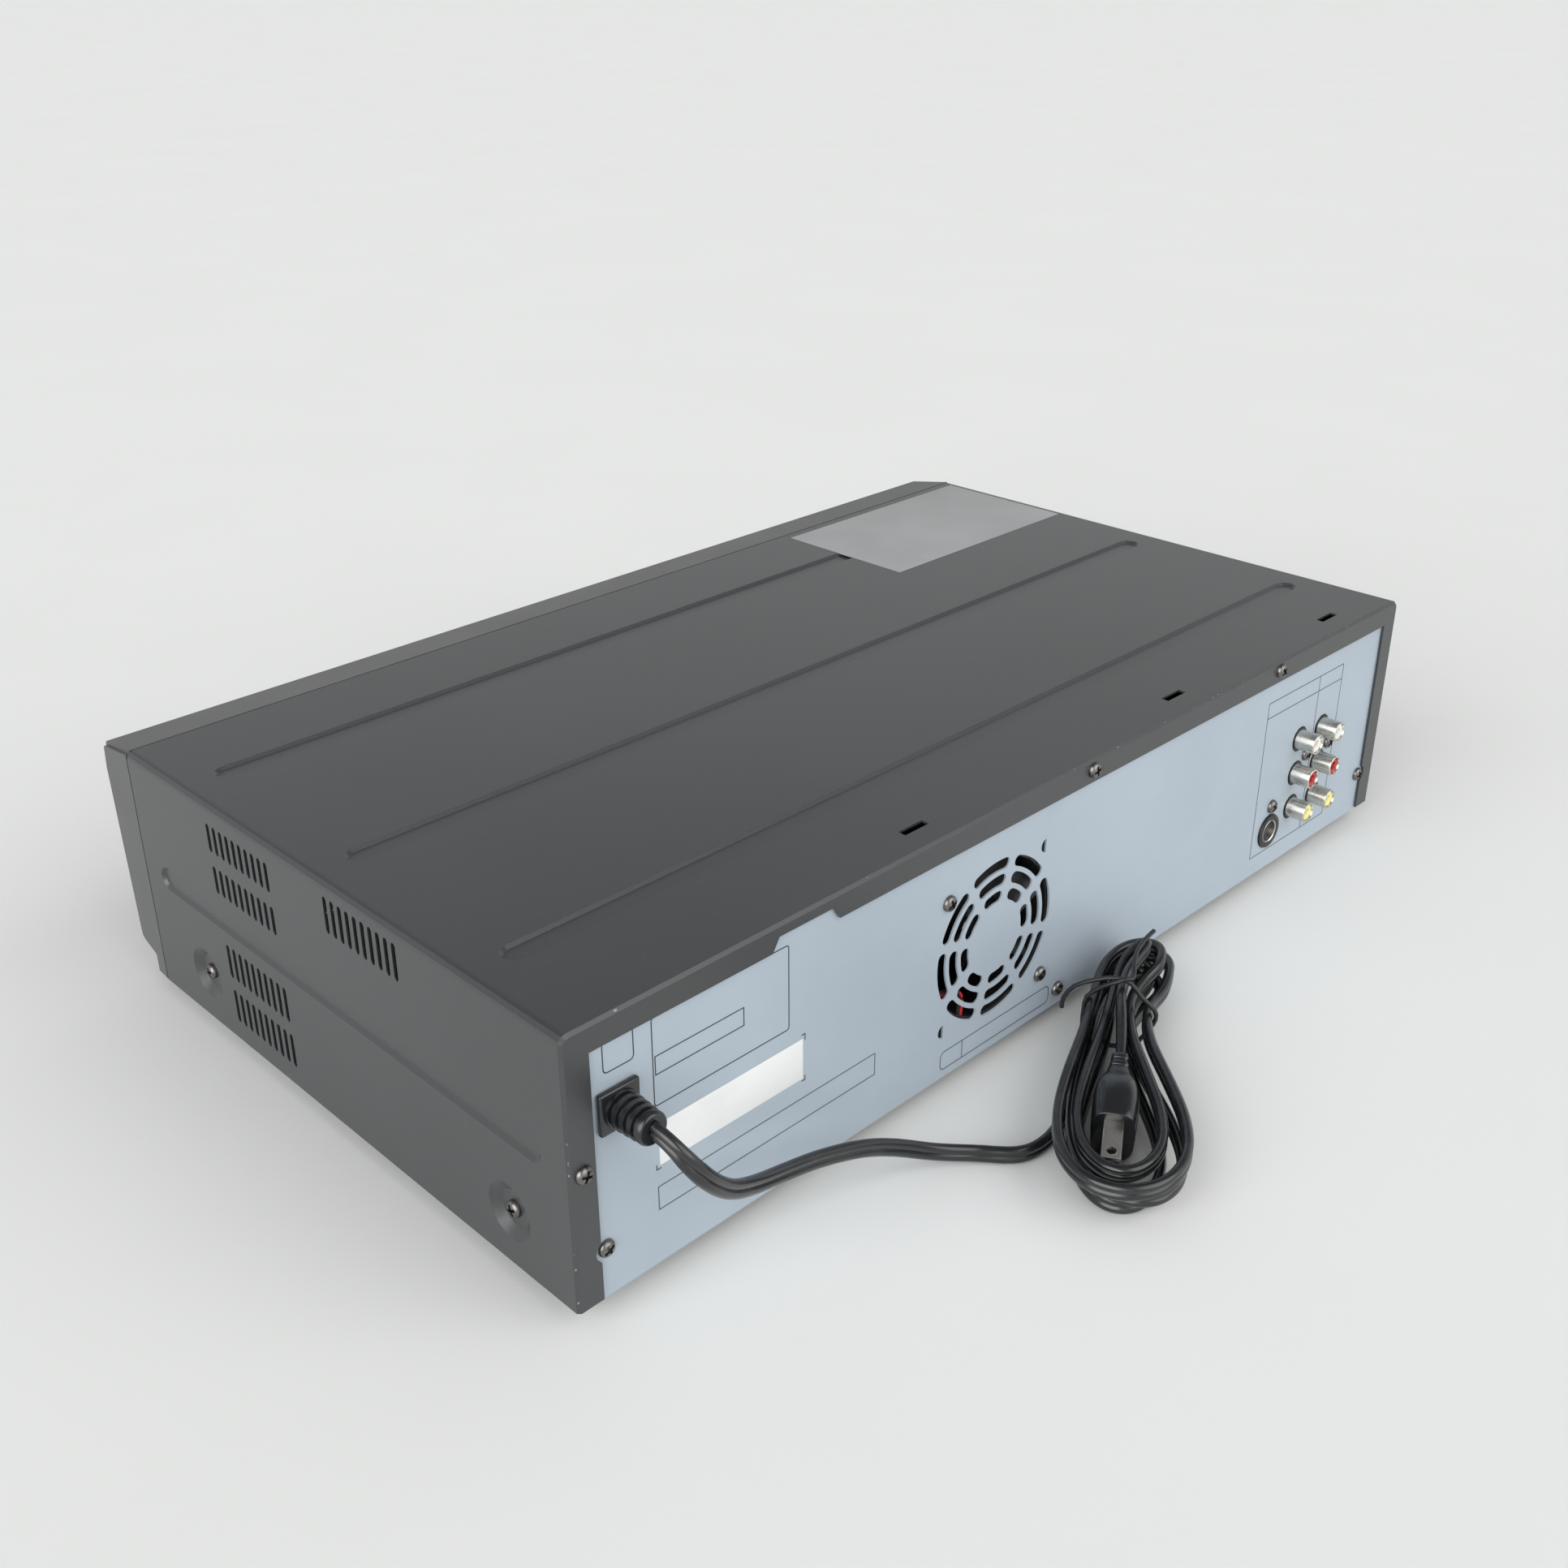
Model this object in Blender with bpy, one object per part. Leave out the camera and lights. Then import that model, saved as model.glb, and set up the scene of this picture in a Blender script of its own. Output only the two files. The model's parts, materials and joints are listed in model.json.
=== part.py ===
"""Disc and video cassette deck, modelled as an assembly of separate pieces.

Metres, +Z up. The front faces -Y and the sockets face +Y. The origin is on the floor, under the
middle of the deck without its mains cord.
"""

import math

import bmesh
import bpy
from mathutils import Matrix, Vector

# Clearances and tools of the model
GAP = 0.0003
OVERRUN = 0.001
ROUND_STEPS = 3
SMOOTH_ANGLE = 35.0

# Cover: a folded steel sheet, open at the front and closed to a flange at the rear
COVER_WIDTH = 0.435
COVER_HEIGHT = 0.092
COVER_DEPTH = 0.238
SHEET = 0.0008
BEND_RADIUS = 0.003
REAR_BEND = 0.001
SIDE_FLANGE = 0.0092
TOP_FLANGE = 0.0087
BEAD_DEPTH = 0.001
TUB_WALL_SHARE = 0.8
BEAD_HALF_WIDTH = 0.0045
BEAD_SLOPE = 0.0012
SIDE_BEAD_HEIGHT = 0.0486
SIDE_BEAD_START = 0.0112
SIDE_BEAD_END = 0.2263
TOP_BEAD_HALF_LENGTH = 0.2045
TOP_BEAD_SHARES = (0.160, 0.498, 0.826)
DISH_RADIUS = 0.0098
DISH_FLOOR_RADIUS = 0.0062
DISH_DEPTH = 0.0022
DISH_HEIGHT = 0.0188
DISH_START = 0.035
DISH_END = 0.2085
VENT_WIDTH = 0.002
VENT_PITCH = 0.00405
VENT_COUNT = 10
REAR_VENT_START = 0.1246
FRONT_VENT_START = 0.0533
REAR_VENT_BOTTOM = 0.0742
REAR_VENT_LENGTH = 0.013
HIGH_VENT_BOTTOM = 0.0742
HIGH_VENT_LENGTH = 0.0107
UPPER_VENT_BOTTOM = 0.0585
UPPER_VENT_LENGTH = 0.0105
LOWER_VENT_BOTTOM = 0.0256
LOWER_VENT_LENGTH = 0.0132
FLOOR_VENT_BOTTOM = 0.0078
FLOOR_VENT_LENGTH = 0.013
LANCE_LENGTH = 0.011
LANCE_WIDTH = 0.003
LANCE_SETBACK = 0.011
LANCE_SHARES = (0.319, -0.332, -0.827)
NOTCH_WIDTH = 0.0289
NOTCH_TOP_WIDTH = 0.0222
NOTCH_RISE = 0.0045
NOTCH_MIDDLE = 0.1277
SCREW_NOTCH_RADIUS = 0.0042
PANEL_SCREW_X = 0.206
PANEL_SCREW_HEIGHT = 0.0165

# Stance
FLOOR_CLEARANCE = 0.0075
PAN_SHEET = 0.001
FOOT_RADIUS = 0.011
FOOT_TAPER = 0.0012
FOOT_X = 0.178
FOOT_Y_SHARES = (-0.36, 0.37)

# Front moulding
BEZEL_DEPTH = 0.0235
BEZEL_WALL = 0.0025
BEZEL_DROP = 0.004
BEZEL_DRAFT = 0.0016
BEZEL_ROUND = 0.0028
LIP_DEPTH = 0.008
LIP_HEIGHT = 0.007
CHIN_HEIGHT = 0.0095
CHIN_REACH = 0.0193
SEAM_GAP = 0.0007
TONGUE = 0.004
TONGUE_WALL = 0.0015

# Rear panel and what it carries
PANEL_SHEET = 0.0008
PANEL_LIP = 0.010
PANEL_SIDE_GAP = 0.006
JACK_REACH = 0.0082
FAN_X = 0.038
FAN_HEIGHT = 0.0426
FAN_SIZE = 0.060
FAN_DEPTH = 0.015
FAN_CORNER = 0.003
FAN_BORE_RADIUS = 0.0285
FAN_SCREW_PITCH = 0.050
GRILLE_SECTORS = 8
GRILLE_TURN = 15.0
GRILLE_SPOKE = 0.004
GRILLE_RADII = ((0.0290, 0.0252), (0.0233, 0.0194), (0.0174, 0.0136))
GRILLE_ARC_STEPS = 4
EYE_HOLE_RADIUS = 0.0026

# Places worked out from the sizes above
PANEL_INSET = SHEET + GAP
TOTAL_DEPTH = BEZEL_DEPTH + COVER_DEPTH - PANEL_INSET + JACK_REACH
SEAM_Y = BEZEL_DEPTH - TOTAL_DEPTH / 2
REAR_Y = SEAM_Y + COVER_DEPTH
PANEL_Y = REAR_Y - PANEL_INSET
PANEL_INNER_Y = PANEL_Y - PANEL_SHEET
COVER_BOTTOM = FLOOR_CLEARANCE
COVER_TOP = FLOOR_CLEARANCE + COVER_HEIGHT
SIDE_X = COVER_WIDTH / 2
PAN_BOTTOM = FLOOR_CLEARANCE - PAN_SHEET
PAN_TOP = FLOOR_CLEARANCE


# Shared tools

def material(name, colour, roughness, metallic=0.0):
    """A plain Principled material with the given look."""
    found = bpy.data.materials.get(name)
    if found:
        return found
    made = bpy.data.materials.new(name)
    made.use_nodes = True
    shader = made.node_tree.nodes["Principled BSDF"]
    shader.inputs["Base Color"].default_value = (*colour, 1.0)
    shader.inputs["Roughness"].default_value = roughness
    shader.inputs["Metallic"].default_value = metallic
    return made


def charcoal_paint():
    return material("charcoal_paint", (0.10, 0.105, 0.11), 0.45, 0.3)


def silver_paint():
    return material("silver_paint", (0.42, 0.50, 0.56), 0.4, 0.4)


def dark_plastic():
    return material("dark_plastic", (0.05, 0.052, 0.056), 0.5)


def black_plastic():
    return material("black_plastic", (0.012, 0.012, 0.013), 0.4)


def grey_plastic():
    return material("grey_plastic", (0.25, 0.26, 0.27), 0.5)


def smoked_plastic():
    return material("smoked_plastic", (0.01, 0.01, 0.012), 0.1)


def white_plastic():
    return material("white_plastic", (0.8, 0.8, 0.78), 0.45)


def red_plastic():
    return material("red_plastic", (0.55, 0.02, 0.02), 0.45)


def yellow_plastic():
    return material("yellow_plastic", (0.75, 0.5, 0.02), 0.45)


def black_rubber():
    return material("black_rubber", (0.015, 0.015, 0.016), 0.7)


def bright_nickel():
    return material("bright_nickel", (0.6, 0.58, 0.55), 0.25, 1.0)


def zinc_steel():
    return material("zinc_steel", (0.5, 0.51, 0.52), 0.35, 0.9)


def turned_alloy():
    return material("turned_alloy", (0.7, 0.7, 0.72), 0.25, 1.0)


def board_green():
    return material("board_green", (0.05, 0.16, 0.07), 0.5)


def place(name, mesh, paint, origin=(0.0, 0.0, 0.0)):
    """Link a mesh as a named piece whose vertices are given in world places."""
    mesh.transform(Matrix.Translation(-Vector(origin)))
    piece = bpy.data.objects.new(name, mesh)
    piece.location = origin
    mesh.name = name
    mesh.materials.clear()
    mesh.materials.append(paint)
    bpy.context.scene.collection.objects.link(piece)
    bpy.context.view_layer.update()
    return piece


def mesh_of(build):
    """Finish a bmesh as mesh data with its faces pointing out."""
    bmesh.ops.recalc_face_normals(build, faces=build.faces)
    mesh = bpy.data.meshes.new("shape")
    build.to_mesh(mesh)
    build.free()
    return mesh


def loft(rings):
    """A closed body through rings of points, each ring with as many points."""
    build = bmesh.new()
    rows = [[build.verts.new(point) for point in ring] for ring in rings]
    count = len(rows[0])
    for near, far in zip(rows, rows[1:]):
        for i in range(count):
            j = (i + 1) % count
            build.faces.new((near[i], near[j], far[j], far[i]))
    build.faces.new(rows[0])
    build.faces.new(rows[-1])
    return mesh_of(build)


def axis_point(axis, a, b, along):
    """A point from two cross coordinates and one along the axis X, Y or Z."""
    if axis == "X":
        return (along, a, b)
    if axis == "Y":
        return (a, along, b)
    return (a, b, along)


def prism(outline, axis, start, end):
    """An outline of (a, b) points drawn out along an axis."""
    return loft([[axis_point(axis, a, b, along) for a, b in outline] for along in (start, end)])


def block(low, high):
    """A box between two corners."""
    outline = [(low[0], low[1]), (high[0], low[1]), (high[0], high[1]), (low[0], high[1])]
    return prism(outline, "Z", low[2], high[2])


def arc(middle, radius, start, end, steps):
    """Points of an arc, angles in degrees."""
    points = []
    for i in range(steps + 1):
        angle = math.radians(start + (end - start) * i / steps)
        points.append((middle[0] + radius * math.cos(angle), middle[1] + radius * math.sin(angle)))
    return points


def circle(middle, radius, sides):
    return arc(middle, radius, 0.0, 360.0, sides)[:-1]


def rounded_box(low, high, radius, steps=ROUND_STEPS):
    """A rectangle outline with round corners."""
    corners = (
        ((high[0] - radius, high[1] - radius), 0.0),
        ((low[0] + radius, high[1] - radius), 90.0),
        ((low[0] + radius, low[1] + radius), 180.0),
        ((high[0] - radius, low[1] + radius), 270.0),
    )
    points = []
    for middle, turn in corners:
        points += arc(middle, radius, turn, turn + 90.0, steps)
    return points


def stadium(start, end, half_width, steps=ROUND_STEPS):
    """A slot outline with round ends, along either cross direction."""
    turn = math.degrees(math.atan2(end[1] - start[1], end[0] - start[0]))
    points = arc(end, half_width, turn - 90.0, turn + 90.0, steps)
    points += arc(start, half_width, turn + 90.0, turn + 270.0, steps)
    return points


def turned(profile, axis, middle, sides):
    """A solid turned about an axis from (radius, along) points.

    A profile that starts and ends on the axis gives a plain solid, any other a ring.
    """
    build = bmesh.new()
    hollow = profile[0][0] > 0.0 and profile[-1][0] > 0.0
    rows = []
    for radius, along in profile:
        if radius == 0.0:
            rows.append([build.verts.new(axis_point(axis, middle[0], middle[1], along))])
        else:
            points = circle(middle, radius, sides)
            rows.append([build.verts.new(axis_point(axis, a, b, along)) for a, b in points])
    pairs = list(zip(rows, rows[1:]))
    if hollow:
        pairs.append((rows[-1], rows[0]))
    for near, far in pairs:
        for i in range(sides):
            j = (i + 1) % sides
            if len(near) == 1:
                build.faces.new((near[0], far[i], far[j]))
            elif len(far) == 1:
                build.faces.new((near[i], near[j], far[0]))
            else:
                build.faces.new((near[i], near[j], far[j], far[i]))
    return mesh_of(build)


def joined(meshes):
    """Several shapes in one mesh, as loose parts."""
    build = bmesh.new()
    for mesh in meshes:
        build.from_mesh(mesh)
    result = bpy.data.meshes.new("shape")
    build.to_mesh(result)
    build.free()
    return result


def combine(mesh, tool, operation):
    """A Boolean of two meshes, worked out at once."""
    scene = bpy.context.scene.collection
    body = bpy.data.objects.new("body", mesh)
    cutter = bpy.data.objects.new("cutter", tool)
    cutter.hide_render = True
    cutter.display_type = "WIRE"
    scene.objects.link(body)
    scene.objects.link(cutter)
    boolean = body.modifiers.new("combine", "BOOLEAN")
    boolean.operation = operation
    boolean.solver = "EXACT"
    boolean.object = cutter
    bpy.context.view_layer.update()
    graph = bpy.context.evaluated_depsgraph_get()
    result = bpy.data.meshes.new_from_object(body.evaluated_get(graph))
    bpy.data.objects.remove(body)
    bpy.data.objects.remove(cutter)
    return result


def cut(mesh, *tools):
    return combine(mesh, joined(tools), "DIFFERENCE")


def fuse(mesh, *tools):
    for tool in tools:
        mesh = combine(mesh, tool, "UNION")
    return mesh


def smooth(piece, angle=SMOOTH_ANGLE):
    """Shade round pieces smooth but keep their edges."""
    piece.data.shade_smooth()
    piece.data.set_sharp_from_angle(angle=math.radians(angle))
    return piece


def moved(mesh, matrix):
    mesh.transform(matrix)
    return mesh


# Top cover

def cover_path(steps):
    """The cover's outer outline in X and Z, from the +X foot over the top, with inward normals."""
    middle_x = SIDE_X - BEND_RADIUS
    middle_z = COVER_TOP - BEND_RADIUS
    path = [((SIDE_X, COVER_BOTTOM), (-1.0, 0.0))]
    for side in (1.0, -1.0):
        start, end = (0.0, 90.0) if side > 0.0 else (90.0, 180.0)
        for i in range(steps + 1):
            angle = math.radians(start + (end - start) * i / steps)
            outward = (math.cos(angle), math.sin(angle))
            point = (side * middle_x + BEND_RADIUS * outward[0], middle_z + BEND_RADIUS * outward[1])
            path.append((point, (-outward[0], -outward[1])))
    path.append(((-SIDE_X, COVER_BOTTOM), (1.0, 0.0)))
    return path


def flange_corner(point):
    """Where the flange's inner edge lies for a place on the outer outline."""
    x = math.copysign(min(abs(point[0]), SIDE_X - SIDE_FLANGE), point[0])
    z = min(point[1], COVER_TOP - TOP_FLANGE)
    return (x, z)


def cover_shell():
    """The folded sheet with its rear flange, as one profile carried round the outline."""
    build = bmesh.new()
    rows = []
    for point, normal in cover_path(ROUND_STEPS):
        inner = (point[0] + normal[0] * SHEET, point[1] + normal[1] * SHEET)
        lip = (point[0] + normal[0] * REAR_BEND, point[1] + normal[1] * REAR_BEND)
        edge = flange_corner(point)
        section = (
            (point, SEAM_Y),
            (point, REAR_Y - REAR_BEND),
            (lip, REAR_Y),
            (edge, REAR_Y),
            (edge, REAR_Y - SHEET),
            (inner, REAR_Y - SHEET),
            (inner, SEAM_Y),
        )
        rows.append([build.verts.new((x, y, z)) for (x, z), y in section])
    count = len(rows[0])
    for near, far in zip(rows, rows[1:]):
        for i in range(count):
            j = (i + 1) % count
            build.faces.new((near[i], near[j], far[j], far[i]))
    build.faces.new(rows[0])
    build.faces.new(rows[-1])
    bmesh.ops.remove_doubles(build, verts=build.verts, dist=GAP / 100)
    bmesh.ops.dissolve_degenerate(build, edges=build.edges, dist=GAP / 100)
    return mesh_of(build)


def tub(outline_of, axis, face, direction, depth, slope, over):
    """A tapered sunken form: outline_of(inset) gives its outline at each level."""
    levels = ((face - direction * over, 0.0), (face, 0.0), (face + direction * depth, slope))
    rings = []
    for along, inset in levels:
        rings.append([axis_point(axis, a, b, along) for a, b in outline_of(inset)])
    return loft(rings)


def sink(shell, outline_of, axis, face, direction, depth, slope):
    """Press a sunken form into the sheet, with the sheet's thickness kept behind it."""
    def grown(inset):
        return outline_of(inset - SHEET * TUB_WALL_SHARE)
    start = face + direction * SHEET / 2
    bump = tub(grown, axis, start, direction, depth + SHEET / 2, slope, 0.0)
    hollow = tub(outline_of, axis, face, direction, depth, slope, OVERRUN)
    return cut(fuse(shell, bump), hollow)


def bead_outline(start, end, half_width):
    def outline(inset):
        return stadium(start, end, half_width - inset, ROUND_STEPS + 1)
    return outline


def dish_outline(middle):
    def outline(inset):
        return circle(middle, DISH_RADIUS - inset, 14)
    return outline


def vent_cutters():
    """The ventilation slots of the cover's right side, in five groups."""
    groups = (
        (FRONT_VENT_START, HIGH_VENT_BOTTOM, HIGH_VENT_LENGTH),
        (FRONT_VENT_START, UPPER_VENT_BOTTOM, UPPER_VENT_LENGTH),
        (FRONT_VENT_START, LOWER_VENT_BOTTOM, LOWER_VENT_LENGTH),
        (FRONT_VENT_START, FLOOR_VENT_BOTTOM, FLOOR_VENT_LENGTH),
        (REAR_VENT_START, REAR_VENT_BOTTOM, REAR_VENT_LENGTH),
    )
    radius = VENT_WIDTH / 2
    slots = []
    for start, bottom, length in groups:
        for i in range(VENT_COUNT):
            y = SEAM_Y + start + radius + i * VENT_PITCH
            low = (y, COVER_BOTTOM + bottom + radius)
            high = (y, COVER_BOTTOM + bottom + length - radius)
            outline = stadium(low, high, radius)
            slots.append(prism(outline, "X", SIDE_X - SHEET - OVERRUN, SIDE_X + OVERRUN))
    return slots


def flange_cutters():
    """The notches of the rear flange and the hook slots of the top."""
    edge = COVER_TOP - TOP_FLANGE
    front, back = REAR_Y - SHEET - OVERRUN, REAR_Y + OVERRUN
    notch = [
        (NOTCH_MIDDLE - NOTCH_WIDTH / 2, edge - OVERRUN),
        (NOTCH_MIDDLE + NOTCH_WIDTH / 2, edge - OVERRUN),
        (NOTCH_MIDDLE + NOTCH_TOP_WIDTH / 2, edge + NOTCH_RISE),
        (NOTCH_MIDDLE - NOTCH_TOP_WIDTH / 2, edge + NOTCH_RISE),
    ]
    tools = [prism(notch, "Y", front, back)]
    for side in (1.0, -1.0):
        middle = (side * PANEL_SCREW_X, COVER_BOTTOM + PANEL_SCREW_HEIGHT)
        tools.append(prism(circle(middle, SCREW_NOTCH_RADIUS, 12), "Y", front, back))
    y = REAR_Y - LANCE_SETBACK
    for share in LANCE_SHARES:
        x = share * SIDE_X
        low = (x - LANCE_LENGTH / 2, y - LANCE_WIDTH / 2, COVER_TOP - SHEET - OVERRUN)
        high = (x + LANCE_LENGTH / 2, y + LANCE_WIDTH / 2, COVER_TOP + OVERRUN)
        tools.append(block(low, high))
    return tools


def make_top_cover():
    shell = cover_shell()
    reach = TOP_BEAD_HALF_LENGTH - BEAD_HALF_WIDTH
    for share in TOP_BEAD_SHARES:
        y = SEAM_Y + share * COVER_DEPTH
        outline = bead_outline((-reach, y), (reach, y), BEAD_HALF_WIDTH)
        shell = sink(shell, outline, "Z", COVER_TOP, -1.0, BEAD_DEPTH, BEAD_SLOPE)
    for side in (1.0, -1.0):
        z = COVER_BOTTOM + SIDE_BEAD_HEIGHT
        start = (SEAM_Y + SIDE_BEAD_START + BEAD_HALF_WIDTH, z)
        end = (SEAM_Y + SIDE_BEAD_END - BEAD_HALF_WIDTH, z)
        outline = bead_outline(start, end, BEAD_HALF_WIDTH)
        shell = sink(shell, outline, "X", side * SIDE_X, -side, BEAD_DEPTH, BEAD_SLOPE)
        for place_y in (DISH_START, DISH_END):
            outline = dish_outline((SEAM_Y + place_y, COVER_BOTTOM + DISH_HEIGHT))
            slope = DISH_RADIUS - DISH_FLOOR_RADIUS
            shell = sink(shell, outline, "X", side * SIDE_X, -side, DISH_DEPTH, slope)
    shell = cut(shell, *vent_cutters(), *flange_cutters())
    return place("top_cover", shell, charcoal_paint())


# Bottom pan and feet

PAN_SIDE_GAP = 0.0006
PAN_WALL_HEIGHT = 0.0075
PAN_VENT_LENGTH = 0.030
PAN_VENT_WIDTH = 0.003
PAN_VENT_PITCH = 0.008
PAN_VENT_COUNT = 7
POST_RADIUS = 0.003
POST_SIDES = 8


def pan_outline():
    """The pan's section in X and Z: a floor with a wall folded up at each side."""
    outer = SIDE_X - SHEET - PAN_SIDE_GAP
    inner = outer - PAN_SHEET
    top = PAN_TOP + PAN_WALL_HEIGHT
    return [
        (-outer, PAN_BOTTOM), (outer, PAN_BOTTOM), (outer, top), (inner, top),
        (inner, PAN_TOP), (-inner, PAN_TOP), (-inner, top), (-outer, top),
    ]


def post(x, y, top):
    """A stand-off on the pan's floor."""
    return prism(circle((x, y), POST_RADIUS, POST_SIDES), "Z", PAN_BOTTOM + PAN_SHEET / 2, top)


def make_bottom_chassis():
    pan = prism(pan_outline(), "Y", SEAM_Y + GAP, PANEL_INNER_Y - GAP)
    posts = [post(x, y, POWER_BOARD_BOTTOM - GAP) for x, y in power_board_corners()]
    posts += [post(x, y, MAIN_BOARD_BOTTOM - GAP) for x, y in main_board_corners()]
    pan = fuse(pan, *posts)
    slots = []
    for i in range(PAN_VENT_COUNT):
        x = POWER_BOARD_X + (i - (PAN_VENT_COUNT - 1) / 2) * PAN_VENT_PITCH
        low = (x, POWER_BOARD_Y - PAN_VENT_LENGTH / 2)
        high = (x, POWER_BOARD_Y + PAN_VENT_LENGTH / 2)
        outline = stadium(low, high, PAN_VENT_WIDTH / 2, 2)
        slots.append(prism(outline, "Z", PAN_BOTTOM - OVERRUN, PAN_TOP + OVERRUN))
    return place("bottom_chassis", cut(pan, *slots), zinc_steel())


def make_feet():
    sides = ((-1.0, "left"), (1.0, "right"))
    top = PAN_BOTTOM - GAP
    for share, end in zip(FOOT_Y_SHARES, ("front", "rear")):
        for side, hand in sides:
            middle = (side * FOOT_X, share * TOTAL_DEPTH)
            profile = (
                (0.0, 0.0), (FOOT_RADIUS - FOOT_TAPER, 0.0), (FOOT_RADIUS, FOOT_TAPER),
                (FOOT_RADIUS, top), (0.0, top),
            )
            mesh = turned(profile, "Z", middle, 16)
            smooth(place(f"foot_{end}_{hand}", mesh, black_rubber(), (*middle, 0.0)))


# Rear panel

INPUT_X = -0.152
OUTPUT_X = -0.1686
JACK_HEIGHTS = (0.051, 0.036, 0.021)
JACK_NAMES = ("left_audio", "right_audio", "video")
JACK_BOSS_RADIUS = 0.0050
JACK_SHELL_RADIUS = 0.0041
JACK_SHELL_WALL = 0.00075
JACK_RIM = 0.0003
INSERT_BORE_RADIUS = 0.0016
INSERT_SETBACK = 0.0007
JACK_BLOCK_WIDTH = 0.0125
JACK_BLOCK_MARGIN = 0.007
JACK_BLOCK_DEPTH = 0.013
S_VIDEO_X = -0.136
S_VIDEO_HEIGHT = 0.016
S_VIDEO_RADIUS = 0.007
S_VIDEO_REACH = 0.0008
S_VIDEO_BODY_RADIUS = 0.0078
S_VIDEO_RING_OUTER = 0.0049
S_VIDEO_RING_INNER = 0.0042
S_VIDEO_RING_DEPTH = 0.004
S_VIDEO_BODY_DEPTH = 0.012
BUSHING_X = 0.1995
BUSHING_HEIGHT = 0.0617
BUSHING_PLATE_WIDTH = 0.014
BUSHING_PLATE_HEIGHT = 0.0135
BUSHING_PLATE_DEPTH = 0.002
BUSHING_RADIUS = 0.0055
BUSHING_TIP_RADIUS = 0.0050
BUSHING_GROOVE = 0.0007
BUSHING_REACH = 0.0151
BUSHING_INNER_REACH = 0.009
BUSHING_RIBS = 3


def grille_slot(outer, inner, sector):
    """One arc slot of the fan grille, between two spokes, with round ends."""
    middle = (outer + inner) / 2
    half = (outer - inner) / 2
    span = 360.0 / GRILLE_SECTORS
    spoke = GRILLE_TURN + sector * span
    shy = math.degrees(math.asin((GRILLE_SPOKE / 2 + half) / middle))
    cap = math.degrees(half / middle)
    start, end = spoke + shy, spoke + span - shy
    centre = (FAN_X, COVER_BOTTOM + FAN_HEIGHT)
    points = arc(centre, outer, start, end, GRILLE_ARC_STEPS)
    points += arc(centre, middle, end + cap, end + cap, 1)[:1]
    points += arc(centre, inner, end, start, GRILLE_ARC_STEPS)
    points += arc(centre, middle, start - cap, start - cap, 1)[:1]
    return points


def panel_cutters():
    """The openings of the rear panel."""
    front, back = PANEL_INNER_Y - OVERRUN, PANEL_Y + OVERRUN
    outlines = []
    for outer, inner in GRILLE_RADII:
        for sector in range(GRILLE_SECTORS):
            outlines.append(grille_slot(outer, inner, sector))
    for side in (1.0, -1.0):
        x = FAN_X - side * FAN_SCREW_PITCH / 2
        z = COVER_BOTTOM + FAN_HEIGHT + side * FAN_SCREW_PITCH / 2
        outlines.append(arc((x, z), EYE_HOLE_RADIUS, -90.0, 90.0, 6))
    for x in (INPUT_X, OUTPUT_X):
        for height in JACK_HEIGHTS:
            outlines.append(circle((x, COVER_BOTTOM + height), JACK_BOSS_RADIUS + GAP, 16))
    outlines.append(circle((S_VIDEO_X, COVER_BOTTOM + S_VIDEO_HEIGHT), S_VIDEO_RADIUS + GAP, 16))
    outlines.append(circle((BUSHING_X, COVER_BOTTOM + BUSHING_HEIGHT), BUSHING_RADIUS + GAP, 16))
    return [prism(outline, "Y", front, back) for outline in outlines]


def make_rear_panel():
    half = SIDE_X - PANEL_SIDE_GAP
    top = COVER_TOP - SHEET - GAP
    plate = block((-half, PANEL_INNER_Y, PAN_BOTTOM), (half, PANEL_Y, top))
    lip_low = (-half, PANEL_INNER_Y - PANEL_LIP, PAN_TOP + GAP)
    lip_high = (half, PANEL_INNER_Y + PANEL_SHEET / 2, PAN_TOP + GAP + PANEL_SHEET)
    plate = fuse(plate, block(lip_low, lip_high))
    return place("rear_panel", cut(plate, *panel_cutters()), silver_paint())


def make_jacks(side_name, x, paints):
    """A moulded block behind the panel with three sockets that come through it."""
    front = PANEL_INNER_Y - GAP
    low = (x - JACK_BLOCK_WIDTH / 2, front - JACK_BLOCK_DEPTH)
    heights = [COVER_BOTTOM + height for height in JACK_HEIGHTS]
    body = block(
        (*low, min(heights) - JACK_BLOCK_MARGIN),
        (x + JACK_BLOCK_WIDTH / 2, front, max(heights) + JACK_BLOCK_MARGIN),
    )
    start, end = PANEL_Y + GAP, PANEL_Y + JACK_REACH
    inner = JACK_SHELL_RADIUS - JACK_SHELL_WALL
    for z, name, paint in zip(heights, JACK_NAMES, paints):
        boss = prism(circle((x, z), JACK_BOSS_RADIUS, 16), "Y", front - OVERRUN, PANEL_Y)
        body = fuse(body, boss)
        rim = JACK_SHELL_RADIUS - JACK_RIM
        profile = (
            (inner, start), (JACK_SHELL_RADIUS, start), (JACK_SHELL_RADIUS, end - JACK_RIM),
            (rim, end), (inner, end),
        )
        origin = (x, PANEL_Y, z)
        shell = turned(profile, "Y", (x, z), 16)
        smooth(place(f"{side_name}_{name}_shell", shell, bright_nickel(), origin))
        outer = inner - GAP
        back = end - INSERT_SETBACK
        profile = (
            (INSERT_BORE_RADIUS, start), (outer, start), (outer, back), (INSERT_BORE_RADIUS, back),
        )
        insert = turned(profile, "Y", (x, z), 12)
        smooth(place(f"{side_name}_{name}_insert", insert, paint, origin))
    return place(f"{side_name}_jack_block", body, black_plastic())


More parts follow.
